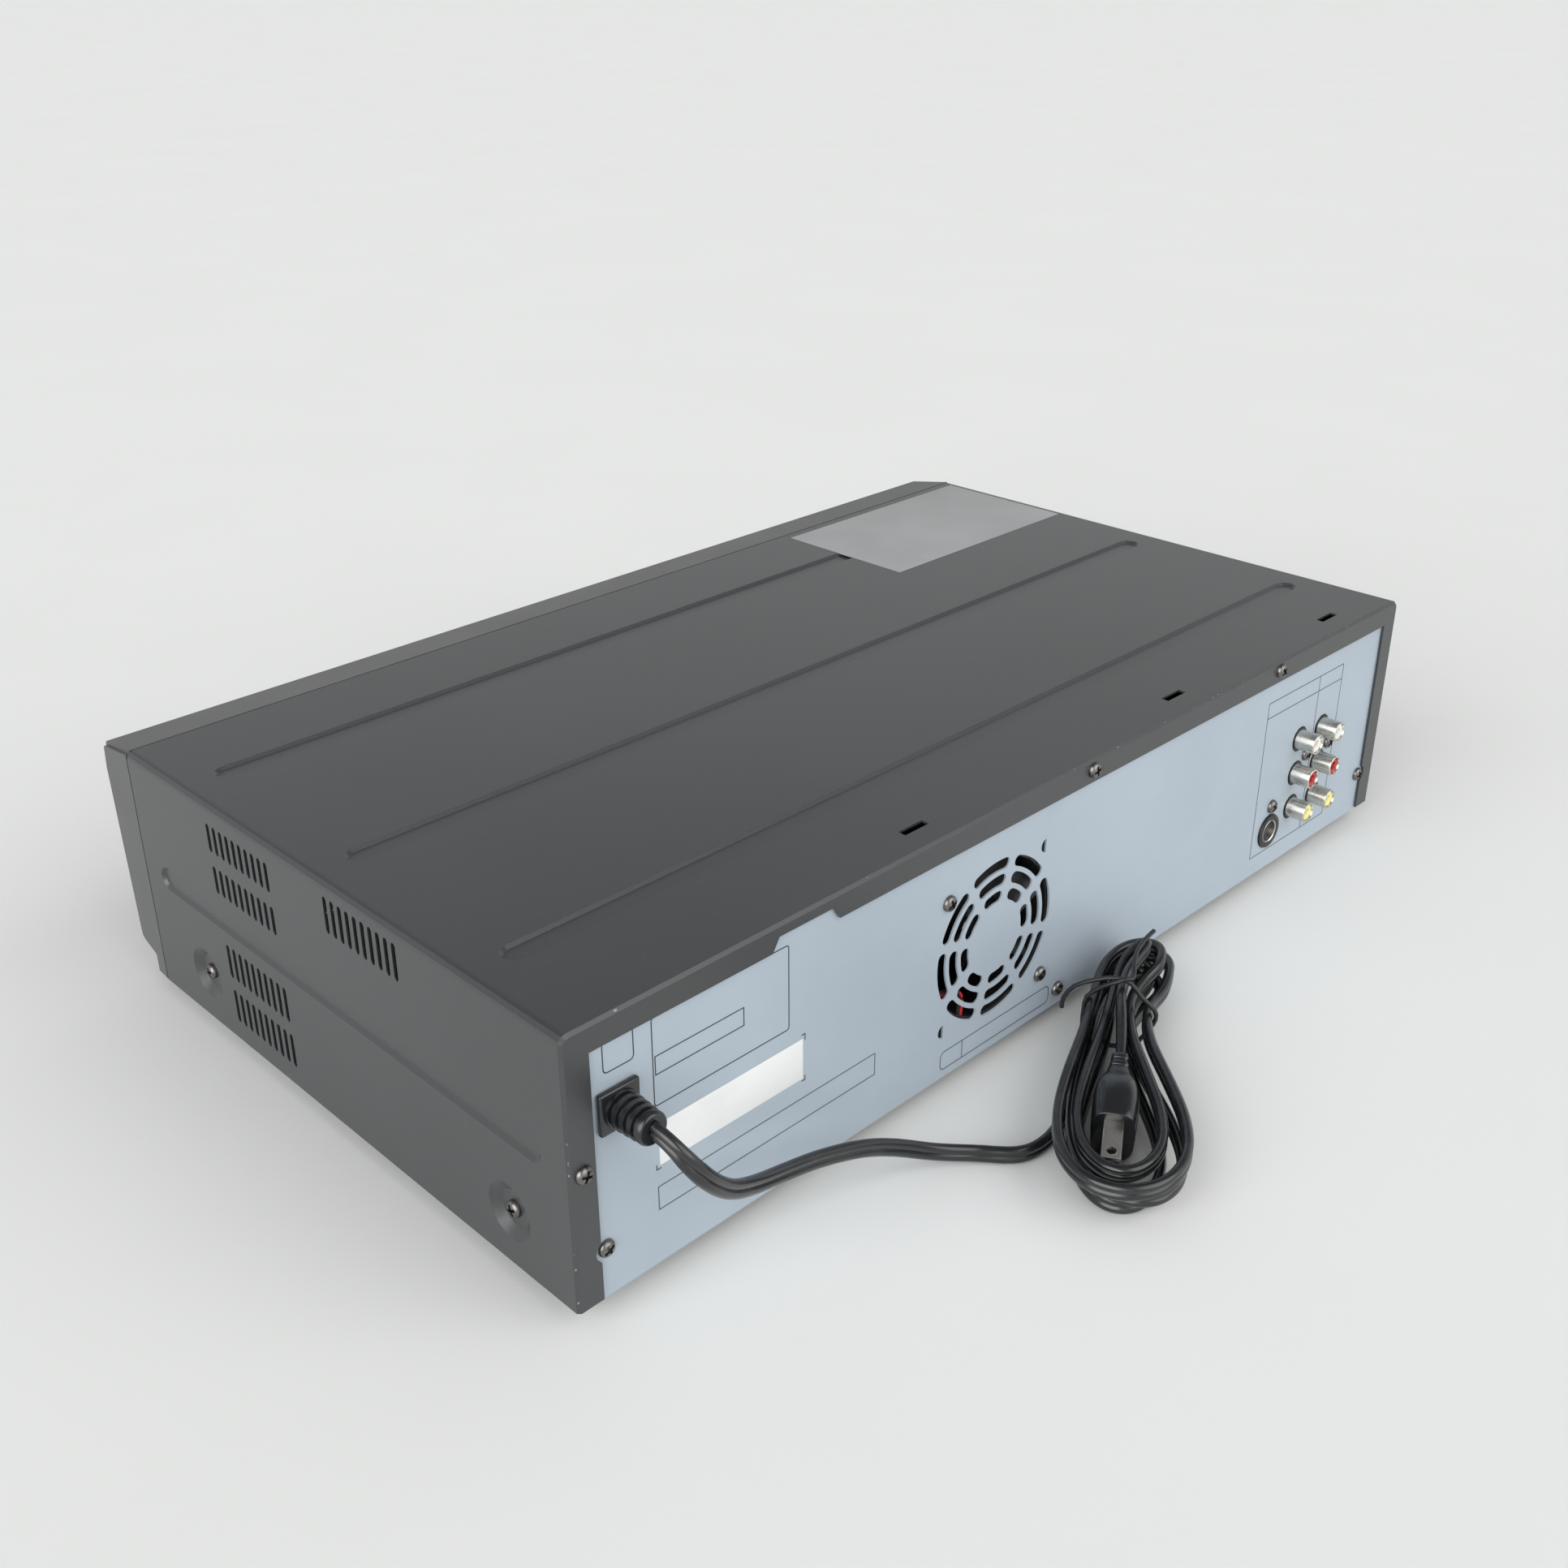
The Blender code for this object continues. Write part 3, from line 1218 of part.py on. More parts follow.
def make_deck_chassis():
    """The mechanism's base plate with its two side walls, legs, pins and tape guides."""
    top = COVER_BOTTOM + DECK_WALL_TOP
    outer, inner = DECK_HALF, DECK_HALF - DECK_SHEET
    section = [
        (-outer, PLATE_Z), (outer, PLATE_Z), (outer, top), (inner, top),
        (inner, PLATE_TOP), (-inner, PLATE_TOP), (-inner, top), (-outer, top),
    ]
    section = [(DECK_X + a, b) for a, b in section]
    body = prism(section, "Y", SEAM_Y + DECK_START, SEAM_Y + DECK_WALL_END)
    low = (DECK_X - outer, SEAM_Y + DECK_WALL_END - OVERRUN, PLATE_Z)
    tail = block(low, (DECK_X + outer, SEAM_Y + DECK_END, PLATE_TOP))
    legs = []
    for side in (-1.0, 1.0):
        for y in (DECK_START + POST_RADIUS * 2, DECK_END - POST_RADIUS * 2):
            middle = (DECK_X + side * (outer - POST_RADIUS * 2), SEAM_Y + y)
            outline = circle(middle, POST_RADIUS, POST_SIDES)
            legs.append(prism(outline, "Z", PAN_TOP + GAP, PLATE_Z + DECK_SHEET / 2))
    root = PLATE_Z + DECK_SHEET / 2
    pins = []
    for side in (-1.0, 1.0):
        middle = (DECK_X + side * REEL_SPACING / 2, SEAM_Y + REEL_Y)
        tip = PLATE_TOP + SPINDLE_PIN_HEIGHT
        shoulder = PLATE_TOP + GAP / 2
        pins.append(stepped_pin(middle, root, shoulder, tip, SPINDLE_PIN_RADIUS * 2, SPINDLE_PIN_RADIUS))
    shoulder = COVER_BOTTOM + ROLLER_START - GAP
    tip = COVER_BOTTOM + ROLLER_END + OVERRUN
    pins.append(stepped_pin(roller_place(), root, shoulder, tip, COLLAR_RADIUS, SPINDLE_PIN_RADIUS))
    for share, y in GUIDE_SHARES:
        middle = (DECK_X + share * REEL_SPACING, SEAM_Y + y)
        outline = circle(middle, GUIDE_RADIUS, 8)
        pins.append(prism(outline, "Z", root, COVER_BOTTOM + GUIDE_TOP))
    body = fuse(body, tail, *legs, *pins)
    first, last = carriage_pin_places()
    radius = CARRIAGE_PIN_RADIUS + GAP
    slot = stadium((first, PIN_Z), (last + CARRIAGE_STROKE, PIN_Z), radius)
    tools = [prism(slot, "X", DECK_X - outer - OVERRUN, DECK_X + outer + OVERRUN)]
    middle = (DECK_X + CAPSTAN_X, SEAM_Y + CAPSTAN_Y)
    bearing = circle(middle, CAPSTAN_RADIUS + GAP, 12)
    tools.append(prism(bearing, "Z", PLATE_Z - OVERRUN, PLATE_TOP + OVERRUN))
    return place("deck_chassis", cut(body, *tools), zinc_steel())


def carriage_pin_places():
    start = SEAM_Y + CARRIAGE_START
    return [start + share * CARRIAGE_LENGTH for share in CARRIAGE_PIN_SHARES]


def make_cassette_carriage():
    """The holder that a cassette slides into, open at the front, on four side pins."""
    low = COVER_BOTTOM + CARRIAGE_BOTTOM
    high = low + CARRIAGE_HEIGHT
    outer, inner = CARRIAGE_HALF, CARRIAGE_HALF - CARRIAGE_SHEET
    lip = outer - CARRIAGE_LIP
    half = [
        (outer, low), (outer, high), (lip, high), (lip, high - CARRIAGE_SHEET),
        (inner, high - CARRIAGE_SHEET), (inner, low + CARRIAGE_SHEET),
    ]
    section = half + [(-a, b) for a, b in reversed(half)]
    section = [(DECK_X + a, b) for a, b in section]
    start = SEAM_Y + CARRIAGE_START
    end = start + CARRIAGE_LENGTH
    body = prism(section, "Y", start, end)
    stop_low = (DECK_X - inner - CARRIAGE_SHEET / 2, end - CARRIAGE_SHEET, low + CARRIAGE_SHEET / 2)
    stop = block(stop_low, (DECK_X + inner + CARRIAGE_SHEET / 2, end - GAP, low + CARRIAGE_STOP))
    pins = []
    for side in (-1.0, 1.0):
        for y in carriage_pin_places():
            outline = circle((y, PIN_Z), CARRIAGE_PIN_RADIUS, 8)
            root = DECK_X + side * (outer - CARRIAGE_SHEET / 2)
            pins.append(prism(outline, "X", root, DECK_X + side * (DECK_HALF + PIN_REACH)))
    body = fuse(body, stop, *pins)
    return place("cassette_carriage", body, zinc_steel(), (DECK_X, start, PIN_Z))


def drum_matrix():
    """The drum's tilt about its foot on the plate."""
    foot = Vector((DECK_X, SEAM_Y + DRUM_Y, PLATE_TOP))
    tilt = Matrix.Rotation(math.radians(DRUM_TILT), 4, "Y")
    return Matrix.Translation(foot) @ tilt


def make_drum():
    """The fixed lower drum with its shaft, and the turning upper drum on it."""
    rise = DRUM_RADIUS * math.sin(math.radians(DRUM_TILT)) + GAP
    split = rise + DRUM_BASE_HEIGHT
    radius = DRUM_RADIUS
    tip = split + DRUM_HEIGHT / 2
    pin = SPINDLE_PIN_RADIUS * 2
    profile = (
        (0.0, rise), (radius, rise), (radius, split), (pin, split), (pin, tip), (0.0, tip),
    )
    base = moved(turned(profile, "Z", (0.0, 0.0), 24), drum_matrix())
    smooth(place("drum_base", base, turned_alloy()))
    start = split + GAP
    top = start + DRUM_HEIGHT
    bore = pin + GAP
    roof = tip + GAP
    profile = (
        (0.0, roof), (bore, roof), (bore, start), (radius, start), (radius, top - DRUM_EDGE),
        (radius - DRUM_EDGE, top), (0.0, top),
    )
    drum = moved(turned(profile, "Z", (0.0, 0.0), 24), drum_matrix())
    origin = tuple(drum_matrix() @ Vector((0.0, 0.0, start)))
    smooth(place("head_drum", drum, turned_alloy(), origin))


def make_reels():
    """The two reel tables, each with a blind bore over its pin."""
    bottom = PLATE_TOP + 2 * GAP
    bore = SPINDLE_PIN_RADIUS + GAP
    roof = PLATE_TOP + SPINDLE_PIN_HEIGHT + GAP
    top = bottom + REEL_HEIGHT
    tip = REEL_SPINDLE_RADIUS
    profile = (
        (0.0, roof), (bore, roof), (bore, bottom), (REEL_RADIUS, bottom),
        (REEL_RADIUS, bottom + REEL_DISC), (REEL_HUB_RADIUS, bottom + REEL_DISC),
        (REEL_HUB_RADIUS, bottom + REEL_HUB_HEIGHT), (tip, bottom + REEL_HUB_HEIGHT),
        (tip, top - tip / 2), (tip / 2, top), (0.0, top),
    )
    for side, name in ((-1.0, "supply_reel"), (1.0, "takeup_reel")):
        middle = (DECK_X + side * REEL_SPACING / 2, SEAM_Y + REEL_Y)
        reel = turned(profile, "Z", middle, 14)
        smooth(place(name, reel, black_plastic(), (*middle, bottom)))


def make_capstan():
    middle = (DECK_X + CAPSTAN_X, SEAM_Y + CAPSTAN_Y)
    low, high = COVER_BOTTOM + FLYWHEEL_BOTTOM, COVER_BOTTOM + FLYWHEEL_TOP
    top = COVER_BOTTOM + CAPSTAN_TOP
    profile = (
        (0.0, low), (FLYWHEEL_RADIUS, low), (FLYWHEEL_RADIUS, high), (CAPSTAN_RADIUS, high),
        (CAPSTAN_RADIUS, top), (0.0, top),
    )
    mesh = turned(profile, "Z", middle, 16)
    return smooth(place("capstan", mesh, turned_alloy(), (*middle, low)))


def make_pinch_roller():
    middle = roller_place()
    start, end = COVER_BOTTOM + ROLLER_START, COVER_BOTTOM + ROLLER_END
    bore = SPINDLE_PIN_RADIUS + GAP
    profile = ((bore, start), (ROLLER_RADIUS, start), (ROLLER_RADIUS, end), (bore, end))
    mesh = turned(profile, "Z", middle, 16)
    return smooth(place("pinch_roller", mesh, black_rubber(), (*middle, start)))


# Disc mechanism

DRIVE_X = 0.110
DRIVE_START = 0.006
DRIVE_LENGTH = 0.166
DRIVE_HALF = 0.073
DRIVE_WALL = 0.002
DRIVE_FLOOR = 0.052
DRIVE_LEDGE = 0.0043
TRAY_HALF = 0.064
TRAY_BOTTOM = 0.069
TRAY_HEIGHT = 0.009
TRAY_START = -0.0180
TRAY_LENGTH = 0.165
TRAY_STROKE = 0.130
TRAY_MARGIN = 0.008
DISC_RADIUS = 0.0605
DISC_SINK = 0.004
SMALL_DISC_RADIUS = 0.0405
SMALL_DISC_SINK = 0.0015
TRAY_SLOT_HALF = 0.020
TRAY_GEAR_MODULE = 0.00125
TRAY_GEAR_TEETH = 12
TRAY_GEAR_Y = 0.018
TRAY_RACK_X = 0.052
TRAY_RACK_DEPTH = 0.0031
TRAY_RACK_BACK = 0.0025
TOOTH_TIP_SHARE = 0.10
TOOTH_ROOT_SHARE = 0.27
ADDENDUM_SHARE = 0.9
DEDENDUM_SHARE = 1.2
TURNTABLE_RADIUS = 0.014
TURNTABLE_BOTTOM = 0.0620
TURNTABLE_REST = 0.0742
TURNTABLE_HUB_RADIUS = 0.0073
TURNTABLE_TOP = 0.0762
MOTOR_RADIUS = 0.012
MOTOR_PIN_HEIGHT = 0.006
ROD_RADIUS = 0.0015
ROD_SPACING = 0.044
ROD_HEIGHT = 0.058
RIB_HALF = 0.0255
RIB_WALL = 0.003
RIB_TOP = 0.0605
RIB_FRONT = 0.0645
RIB_REAR = 0.1345
SLED_START = 0.0682
SLED_LENGTH = 0.028
SLED_STROKE = 0.036
SLED_HALF = 0.0270
SLED_BOTTOM = 0.0555
SLED_TOP = 0.0610
SLED_TURRET_HALF = 0.009
SLED_TURRET_TOP = 0.0720
SLED_LENS_RADIUS = 0.003
SLED_GEAR_MODULE = 0.0008
SLED_GEAR_TEETH = 12
SLED_GEAR_Y = 0.0975
SLED_RACK_X = 0.0293
SLED_GEAR_BOTTOM = 0.0565
SLED_GEAR_HEIGHT = 0.003
SLED_PIN_RADIUS = 0.0012
TRAY_GEAR_RADIUS = TRAY_GEAR_MODULE * TRAY_GEAR_TEETH / 2
SLED_GEAR_RADIUS = SLED_GEAR_MODULE * SLED_GEAR_TEETH / 2
TRAY_Z = COVER_BOTTOM + TRAY_BOTTOM
TRAY_TOP = TRAY_Z + TRAY_HEIGHT
DRIVE_Z = COVER_BOTTOM + DRIVE_FLOOR
DISC_Y = SEAM_Y + TRAY_START + TRAY_MARGIN + DISC_RADIUS
TRAY_GEAR_PLACE = (DRIVE_X + TRAY_RACK_X - TRAY_GEAR_RADIUS, SEAM_Y + TRAY_GEAR_Y)
SLED_GEAR_PLACE = (DRIVE_X - SLED_RACK_X - SLED_GEAR_RADIUS, SEAM_Y + SLED_GEAR_Y)


def gear(middle, module, teeth, low, high, bore):
    """A spur gear with straight-sided teeth, one of them towards +X, and a plain bore."""
    radius = module * teeth / 2
    tip, root = radius + ADDENDUM_SHARE * module, radius - DEDENDUM_SHARE * module
    step = 360.0 / teeth
    outline = []
    for i in range(teeth):
        for r, share in (
            (root, -TOOTH_ROOT_SHARE), (tip, -TOOTH_TIP_SHARE),
            (tip, TOOTH_TIP_SHARE), (root, TOOTH_ROOT_SHARE),
        ):
            angle = math.radians((i + share) * step)
            outline.append((middle[0] + r * math.cos(angle), middle[1] + r * math.sin(angle)))
    body = prism(outline, "Z", low, high)
    return cut(body, prism(circle(middle, bore, 8), "Z", low - OVERRUN, high + OVERRUN))


def rack(pitch_x, gear_y, module, start, end, back, low, high):
    """A straight rack along Y whose teeth point to -X and mesh with a gear at gear_y."""
    pitch = math.pi * module
    first = math.ceil((start - gear_y) / pitch - TOOTH_ROOT_SHARE)
    last = math.floor((end - gear_y) / pitch - 1.0 + TOOTH_ROOT_SHARE)
    tip, root = pitch_x - ADDENDUM_SHARE * module, pitch_x + DEDENDUM_SHARE * module
    outline = [(back, end), (back, start), (root, start)]
    for i in range(first, last + 1):
        middle = gear_y + (i + 0.5) * pitch
        outline.append((root, middle - TOOTH_ROOT_SHARE * pitch))
        outline.append((tip, middle - TOOTH_TIP_SHARE * pitch))
        outline.append((tip, middle + TOOTH_TIP_SHARE * pitch))
        outline.append((root, middle + TOOTH_ROOT_SHARE * pitch))
    outline.append((root, end))
    return prism(outline, "Z", low, high)


def make_disc_tray():
    """The tray: two disc recesses, a slot for the turntable and a rack underneath."""
    start = SEAM_Y + TRAY_START
    end = start + TRAY_LENGTH
    low = (DRIVE_X - TRAY_HALF, start)
    high = (DRIVE_X + TRAY_HALF, end)
    tray = prism(rounded_box(low, high, TRAY_HEIGHT / 3, 1), "Z", TRAY_Z, TRAY_TOP)
    middle = (DRIVE_X, DISC_Y)
    sink_z = TRAY_TOP - DISC_SINK
    small_z = sink_z - SMALL_DISC_SINK
    slot = [(DRIVE_X + TRAY_SLOT_HALF, end + OVERRUN), (DRIVE_X - TRAY_SLOT_HALF, end + OVERRUN)]
    slot += arc(middle, TRAY_SLOT_HALF, 180.0, 360.0, 8)
    large = prism(circle(middle, DISC_RADIUS, 36), "Z", sink_z, TRAY_TOP + OVERRUN)
    small = prism(circle(middle, SMALL_DISC_RADIUS, 28), "Z", small_z, sink_z + OVERRUN)
    tray = cut(cut(tray, large), small)
    tray = cut(tray, prism(slot, "Z", TRAY_Z - OVERRUN, TRAY_TOP + OVERRUN))
    pitch = math.pi * TRAY_GEAR_MODULE
    gear_y = TRAY_GEAR_PLACE[1]
    root = DRIVE_X + TRAY_RACK_X + DEDENDUM_SHARE * TRAY_GEAR_MODULE
    teeth = rack(
        DRIVE_X + TRAY_RACK_X, gear_y, TRAY_GEAR_MODULE, gear_y - 2 * pitch,
        gear_y + TRAY_STROKE - pitch, root + TRAY_RACK_BACK, TRAY_Z - TRAY_RACK_DEPTH,
        TRAY_Z + OVERRUN,
    )
    return place("disc_tray", fuse(tray, teeth), black_plastic(), (DRIVE_X, start, TRAY_Z))


def make_tray_front():
    """The tray's front, flush in the face, with the tray's own end just behind it."""
    half_x, half_v = LID_WIDTH / 2, LID_HEIGHT / 2
    edge = BUTTON_EDGE
    steps = (
        (half_x, half_v, LID_ROUND, -LID_WALL),
        (half_x, half_v, LID_ROUND, -edge),
        (half_x - edge, half_v - edge, LID_ROUND, 0.0),
    )
    mesh = on_face(loft(plug_rings(LID_X, LID_LOW + half_v, steps)))
    return place("tray_front", mesh, dark_plastic(), face_place(LID_X, LID_LOW + half_v, 0.0))


def drive_section():
    """The drive frame's section in X and Z: a channel with a ledge and a lip each side."""
    wall = DRIVE_HALF - DRIVE_WALL
    ledge = TRAY_HALF + GAP
    inner = ledge - DRIVE_LEDGE
    top = TRAY_TOP + GAP + DRIVE_WALL
    half = [
        (DRIVE_HALF, DRIVE_Z), (DRIVE_HALF, top), (inner, top), (inner, TRAY_TOP + GAP),
        (ledge, TRAY_TOP + GAP), (ledge, TRAY_Z - GAP), (inner, TRAY_Z - GAP),
        (inner, TRAY_Z - GAP - DRIVE_WALL), (wall, TRAY_Z - GAP - DRIVE_WALL),
        (wall, DRIVE_Z + DRIVE_WALL),
    ]
    section = half + [(-a, b) for a, b in reversed(half)]
    return [(DRIVE_X + a, b) for a, b in section]


def make_drive_frame():
    """The disc drive's frame with its legs, gear posts, motor boss and guide rods."""
    start = SEAM_Y + DRIVE_START
    body = prism(drive_section(), "Y", start, start + DRIVE_LENGTH)
    root = DRIVE_Z + DRIVE_WALL / 2
    extras = []
    for side in (-1.0, 1.0):
        for y in (start + POST_RADIUS * 2, start + DRIVE_LENGTH - POST_RADIUS * 2):
            middle = (DRIVE_X + side * (DRIVE_HALF - POST_RADIUS * 1.5), y)
            outline = circle(middle, POST_RADIUS, POST_SIDES)
            extras.append(prism(outline, "Z", PAN_TOP + GAP, root))
    gear_low = TRAY_Z - TRAY_RACK_DEPTH - GAP
    extras.append(stepped_pin(TRAY_GEAR_PLACE, root, gear_low - GAP, TRAY_Z - 2 * GAP,
                              COLLAR_RADIUS, SPINDLE_PIN_RADIUS))
    sled_low = COVER_BOTTOM + SLED_GEAR_BOTTOM
    extras.append(stepped_pin(SLED_GEAR_PLACE, root, sled_low - GAP, sled_low + SLED_GEAR_HEIGHT + GAP,
                              SLED_PIN_RADIUS * 2, SLED_PIN_RADIUS))
    table_low = COVER_BOTTOM + TURNTABLE_BOTTOM
    extras.append(stepped_pin((DRIVE_X, DISC_Y), root, table_low - GAP, table_low + MOTOR_PIN_HEIGHT,
                              MOTOR_RADIUS, SPINDLE_PIN_RADIUS))
    for y in (RIB_FRONT, RIB_REAR):
        low = (DRIVE_X - RIB_HALF, SEAM_Y + y, root)
        high = (DRIVE_X + RIB_HALF, SEAM_Y + y + RIB_WALL, COVER_BOTTOM + RIB_TOP)
        extras.append(block(low, high))
    body = fuse(body, *extras)
    rods = []
    for side in (-1.0, 1.0):
        middle = (DRIVE_X + side * ROD_SPACING / 2, COVER_BOTTOM + ROD_HEIGHT)
        outline = circle(middle, ROD_RADIUS, 8)
        ends = (SEAM_Y + RIB_FRONT + RIB_WALL / 2, SEAM_Y + RIB_REAR + RIB_WALL / 2)
        rods.append(prism(outline, "Y", *ends))
    return place("drive_frame", fuse(body, *rods), zinc_steel())


def make_tray_pinion():
    low = TRAY_Z - TRAY_RACK_DEPTH - GAP
    high = TRAY_Z - 2 * GAP
    bore = SPINDLE_PIN_RADIUS + GAP
    mesh = gear(TRAY_GEAR_PLACE, TRAY_GEAR_MODULE, TRAY_GEAR_TEETH, low, high, bore)
    return place("tray_pinion", mesh, white_plastic(), (*TRAY_GEAR_PLACE, low))


def make_sled_pinion():
    low = COVER_BOTTOM + SLED_GEAR_BOTTOM
    high = low + SLED_GEAR_HEIGHT
    bore = SLED_PIN_RADIUS + GAP
    mesh = gear(SLED_GEAR_PLACE, SLED_GEAR_MODULE, SLED_GEAR_TEETH, low, high, bore)
    return place("sled_pinion", mesh, white_plastic(), (*SLED_GEAR_PLACE, low))


def make_turntable():
    bottom = COVER_BOTTOM + TURNTABLE_BOTTOM
    rest = COVER_BOTTOM + TURNTABLE_REST
    top = COVER_BOTTOM + TURNTABLE_TOP
    bore = SPINDLE_PIN_RADIUS + GAP
    roof = bottom + MOTOR_PIN_HEIGHT + GAP
    hub = TURNTABLE_HUB_RADIUS
    profile = (
        (0.0, roof), (bore, roof), (bore, bottom), (hub, bottom), (hub, rest - RIB_WALL / 2),
        (TURNTABLE_RADIUS, rest - RIB_WALL / 2), (TURNTABLE_RADIUS, rest), (hub, rest),
        (hub / 2, top), (0.0, top),
    )
    mesh = turned(profile, "Z", (DRIVE_X, DISC_Y), 20)
    return smooth(place("turntable", mesh, black_plastic(), (DRIVE_X, DISC_Y, bottom)))


def make_pickup_sled():
    """The pickup: a block on two rods with a raised lens and a rack on its side."""
    start = SEAM_Y + SLED_START
    end = start + SLED_LENGTH
    low, high = COVER_BOTTOM + SLED_BOTTOM, COVER_BOTTOM + SLED_TOP
    body = block((DRIVE_X - SLED_HALF, start, low), (DRIVE_X + SLED_HALF, end, high))
    middle = (start + end) / 2
    half = SLED_TURRET_HALF
    turret_top = COVER_BOTTOM + SLED_TURRET_TOP
    low_corner = (DRIVE_X - half, middle - half, high - OVERRUN)
    turret = block(low_corner, (DRIVE_X + half, middle + half, turret_top))
    lens = prism(circle((DRIVE_X, middle), SLED_LENS_RADIUS, 12), "Z", turret_top - OVERRUN,
                 turret_top + OVERRUN / 2)
    pitch = math.pi * SLED_GEAR_MODULE
    gear_y = SLED_GEAR_PLACE[1]
    teeth = rack(
        DRIVE_X - SLED_RACK_X, gear_y, SLED_GEAR_MODULE, gear_y - SLED_STROKE - pitch,
        gear_y + pitch, DRIVE_X - SLED_HALF + GAP, COVER_BOTTOM + SLED_GEAR_BOTTOM + GAP,
        COVER_BOTTOM + SLED_GEAR_BOTTOM + SLED_GEAR_HEIGHT - GAP,
    )
    body = fuse(body, turret, lens, teeth)
    bores = []
    for side in (-1.0, 1.0):
        centre = (DRIVE_X + side * ROD_SPACING / 2, COVER_BOTTOM + ROD_HEIGHT)
        outline = circle(centre, ROD_RADIUS + GAP, 8)
        bores.append(prism(outline, "Y", start - OVERRUN, end + OVERRUN))
    return place("pickup_sled", cut(body, *bores), zinc_steel(), (DRIVE_X, middle, low))


# Boards

BOARD_WALL = 0.0016
POWER_BOARD_X = 0.140
POWER_BOARD_SETBACK = 0.2008
POWER_BOARD_Y = SEAM_Y + POWER_BOARD_SETBACK
POWER_BOARD_HALF = (0.064, 0.026)
POWER_BOARD_BOTTOM = COVER_BOTTOM + 0.010
MAIN_BOARD_X = 0.110
MAIN_BOARD_SETBACK = 0.0828
MAIN_BOARD_Y = SEAM_Y + MAIN_BOARD_SETBACK
MAIN_BOARD_HALF = (0.060, 0.066)
MAIN_BOARD_BOTTOM = COVER_BOTTOM + 0.008
BOARD_CORNER = 0.005
TRANSFORMER = (0.038, 0.032, 0.034)
TRANSFORMER_SHARE = -0.10
HEAT_SINK_SHARES = (-0.55, 0.60)
CAPACITOR_SHARES = ((0.42, -0.30), (0.78, -0.30))
SMALL_CHIP_SHARES = ((-0.60, 0.50), (0.55, 0.55), (0.50, -0.55), (-0.55, -0.50))
CAPACITOR_RADIUS = 0.009
CAPACITOR_HEIGHT = 0.028
HEAT_SINK = (0.048, 0.003, 0.034)
CHIP = (0.028, 0.028, 0.003)
SMALL_CHIP = (0.018, 0.012, 0.003)


def corners(x, y, half):
    reach_x, reach_y = half[0] - BOARD_CORNER, half[1] - BOARD_CORNER
    return [(x + a * reach_x, y + b * reach_y) for a in (-1.0, 1.0) for b in (-1.0, 1.0)]


def power_board_corners():
    return corners(POWER_BOARD_X, POWER_BOARD_Y, POWER_BOARD_HALF)


def main_board_corners():
    return corners(MAIN_BOARD_X, MAIN_BOARD_Y, MAIN_BOARD_HALF)


def plate(x, y, half, low):
    return block((x - half[0], y - half[1], low), (x + half[0], y + half[1], low + BOARD_WALL))


def on_board(x, y, size, low):
    root = low + BOARD_WALL / 2
    high = (x + size[0] / 2, y + size[1] / 2, low + BOARD_WALL + size[2])
    return block((x - size[0] / 2, y - size[1] / 2, root), high)


def make_power_board():
    """The supply board with its transformer, heat sink and two capacitors."""
    x, y, low = POWER_BOARD_X, POWER_BOARD_Y, POWER_BOARD_BOTTOM
    reach_x, reach_y = POWER_BOARD_HALF
    board = plate(x, y, POWER_BOARD_HALF, low)
    tall = low + BOARD_WALL + CAPACITOR_HEIGHT
    parts = [on_board(x + reach_x * TRANSFORMER_SHARE, y, TRANSFORMER, low)]
    sink_x, sink_y = HEAT_SINK_SHARES
    parts.append(on_board(x + reach_x * sink_x, y + reach_y * sink_y, HEAT_SINK, low))
    for share_x, share_y in CAPACITOR_SHARES:
        outline = circle((x + reach_x * share_x, y + reach_y * share_y), CAPACITOR_RADIUS, 12)
        parts.append(prism(outline, "Z", low + BOARD_WALL / 2, tall))
    return place("power_board", fuse(board, *parts), board_green())


def make_main_board():
    """The signal board under the disc drive with its chips."""
    x, y, low = MAIN_BOARD_X, MAIN_BOARD_Y, MAIN_BOARD_BOTTOM
    board = plate(x, y, MAIN_BOARD_HALF, low)
    reach_x, reach_y = MAIN_BOARD_HALF
    parts = [on_board(x, y, CHIP, low)]
    for share_x, share_y in SMALL_CHIP_SHARES:
        parts.append(on_board(x + reach_x * share_x, y + reach_y * share_y, SMALL_CHIP, low))
    return place("main_board", fuse(board, *parts), board_green())


# Mains cord: a lead from the bushing down to the floor, and a hank tied at its waist

CORD_RADIUS = 0.0025
LEAD_ROUTE = (
    (0.1995, 0.1465, 0.0688),
    (0.1980, 0.1517, 0.0645),
    (0.1930, 0.1537, 0.0565),
    (0.1820, 0.1512, 0.0446),
    (0.1687, 0.1472, 0.0362),
    (0.1526, 0.1442, 0.0299),
    (0.1380, 0.1432, 0.0255),
    (0.1220, 0.1442, 0.0205),
    (0.1060, 0.1464, 0.0130),
    (0.0930, 0.1500, 0.0060),
    (0.0810, 0.1570, 0.0028),
    (0.0710, 0.1680, 0.0028),
)
LEAD_STEP = 0.0115
HANK_NEAR = (0.0728, 0.2144)
HANK_WAIST = (0.0017, 0.1512)
HANK_FAR = (-0.0347, 0.1512)
HANK_WAIST_HALF = 0.0107
HANK_NEAR_SWELL = 0.0393
HANK_FAR_SWELL = 0.0178
HANK_FAR_LIFT = 0.0060
HANK_END_BLUNTNESS = 0.10
HANK_FLARE_SHARE = 0.22
HANK_STEP = 0.00595
HANK_LAYER = 0.0060
HANK_LIFT = 0.0022
HANK_LOOP_POINTS = 24
HANK_REVERSALS = (1.25, 2.75)
HANK_CLIMB = 0.12
HANK_START = 0.16
HANK_END = 4.75
HANK_NEAR_SKEW = (0.0053, -0.0001, 0.0058)
HANK_FAR_SKEW = (-0.0000, 0.0030, 0.0027)
TAIL_CLIMB_TURN = 4.40
TAIL_HOLD_TURN = 4.30
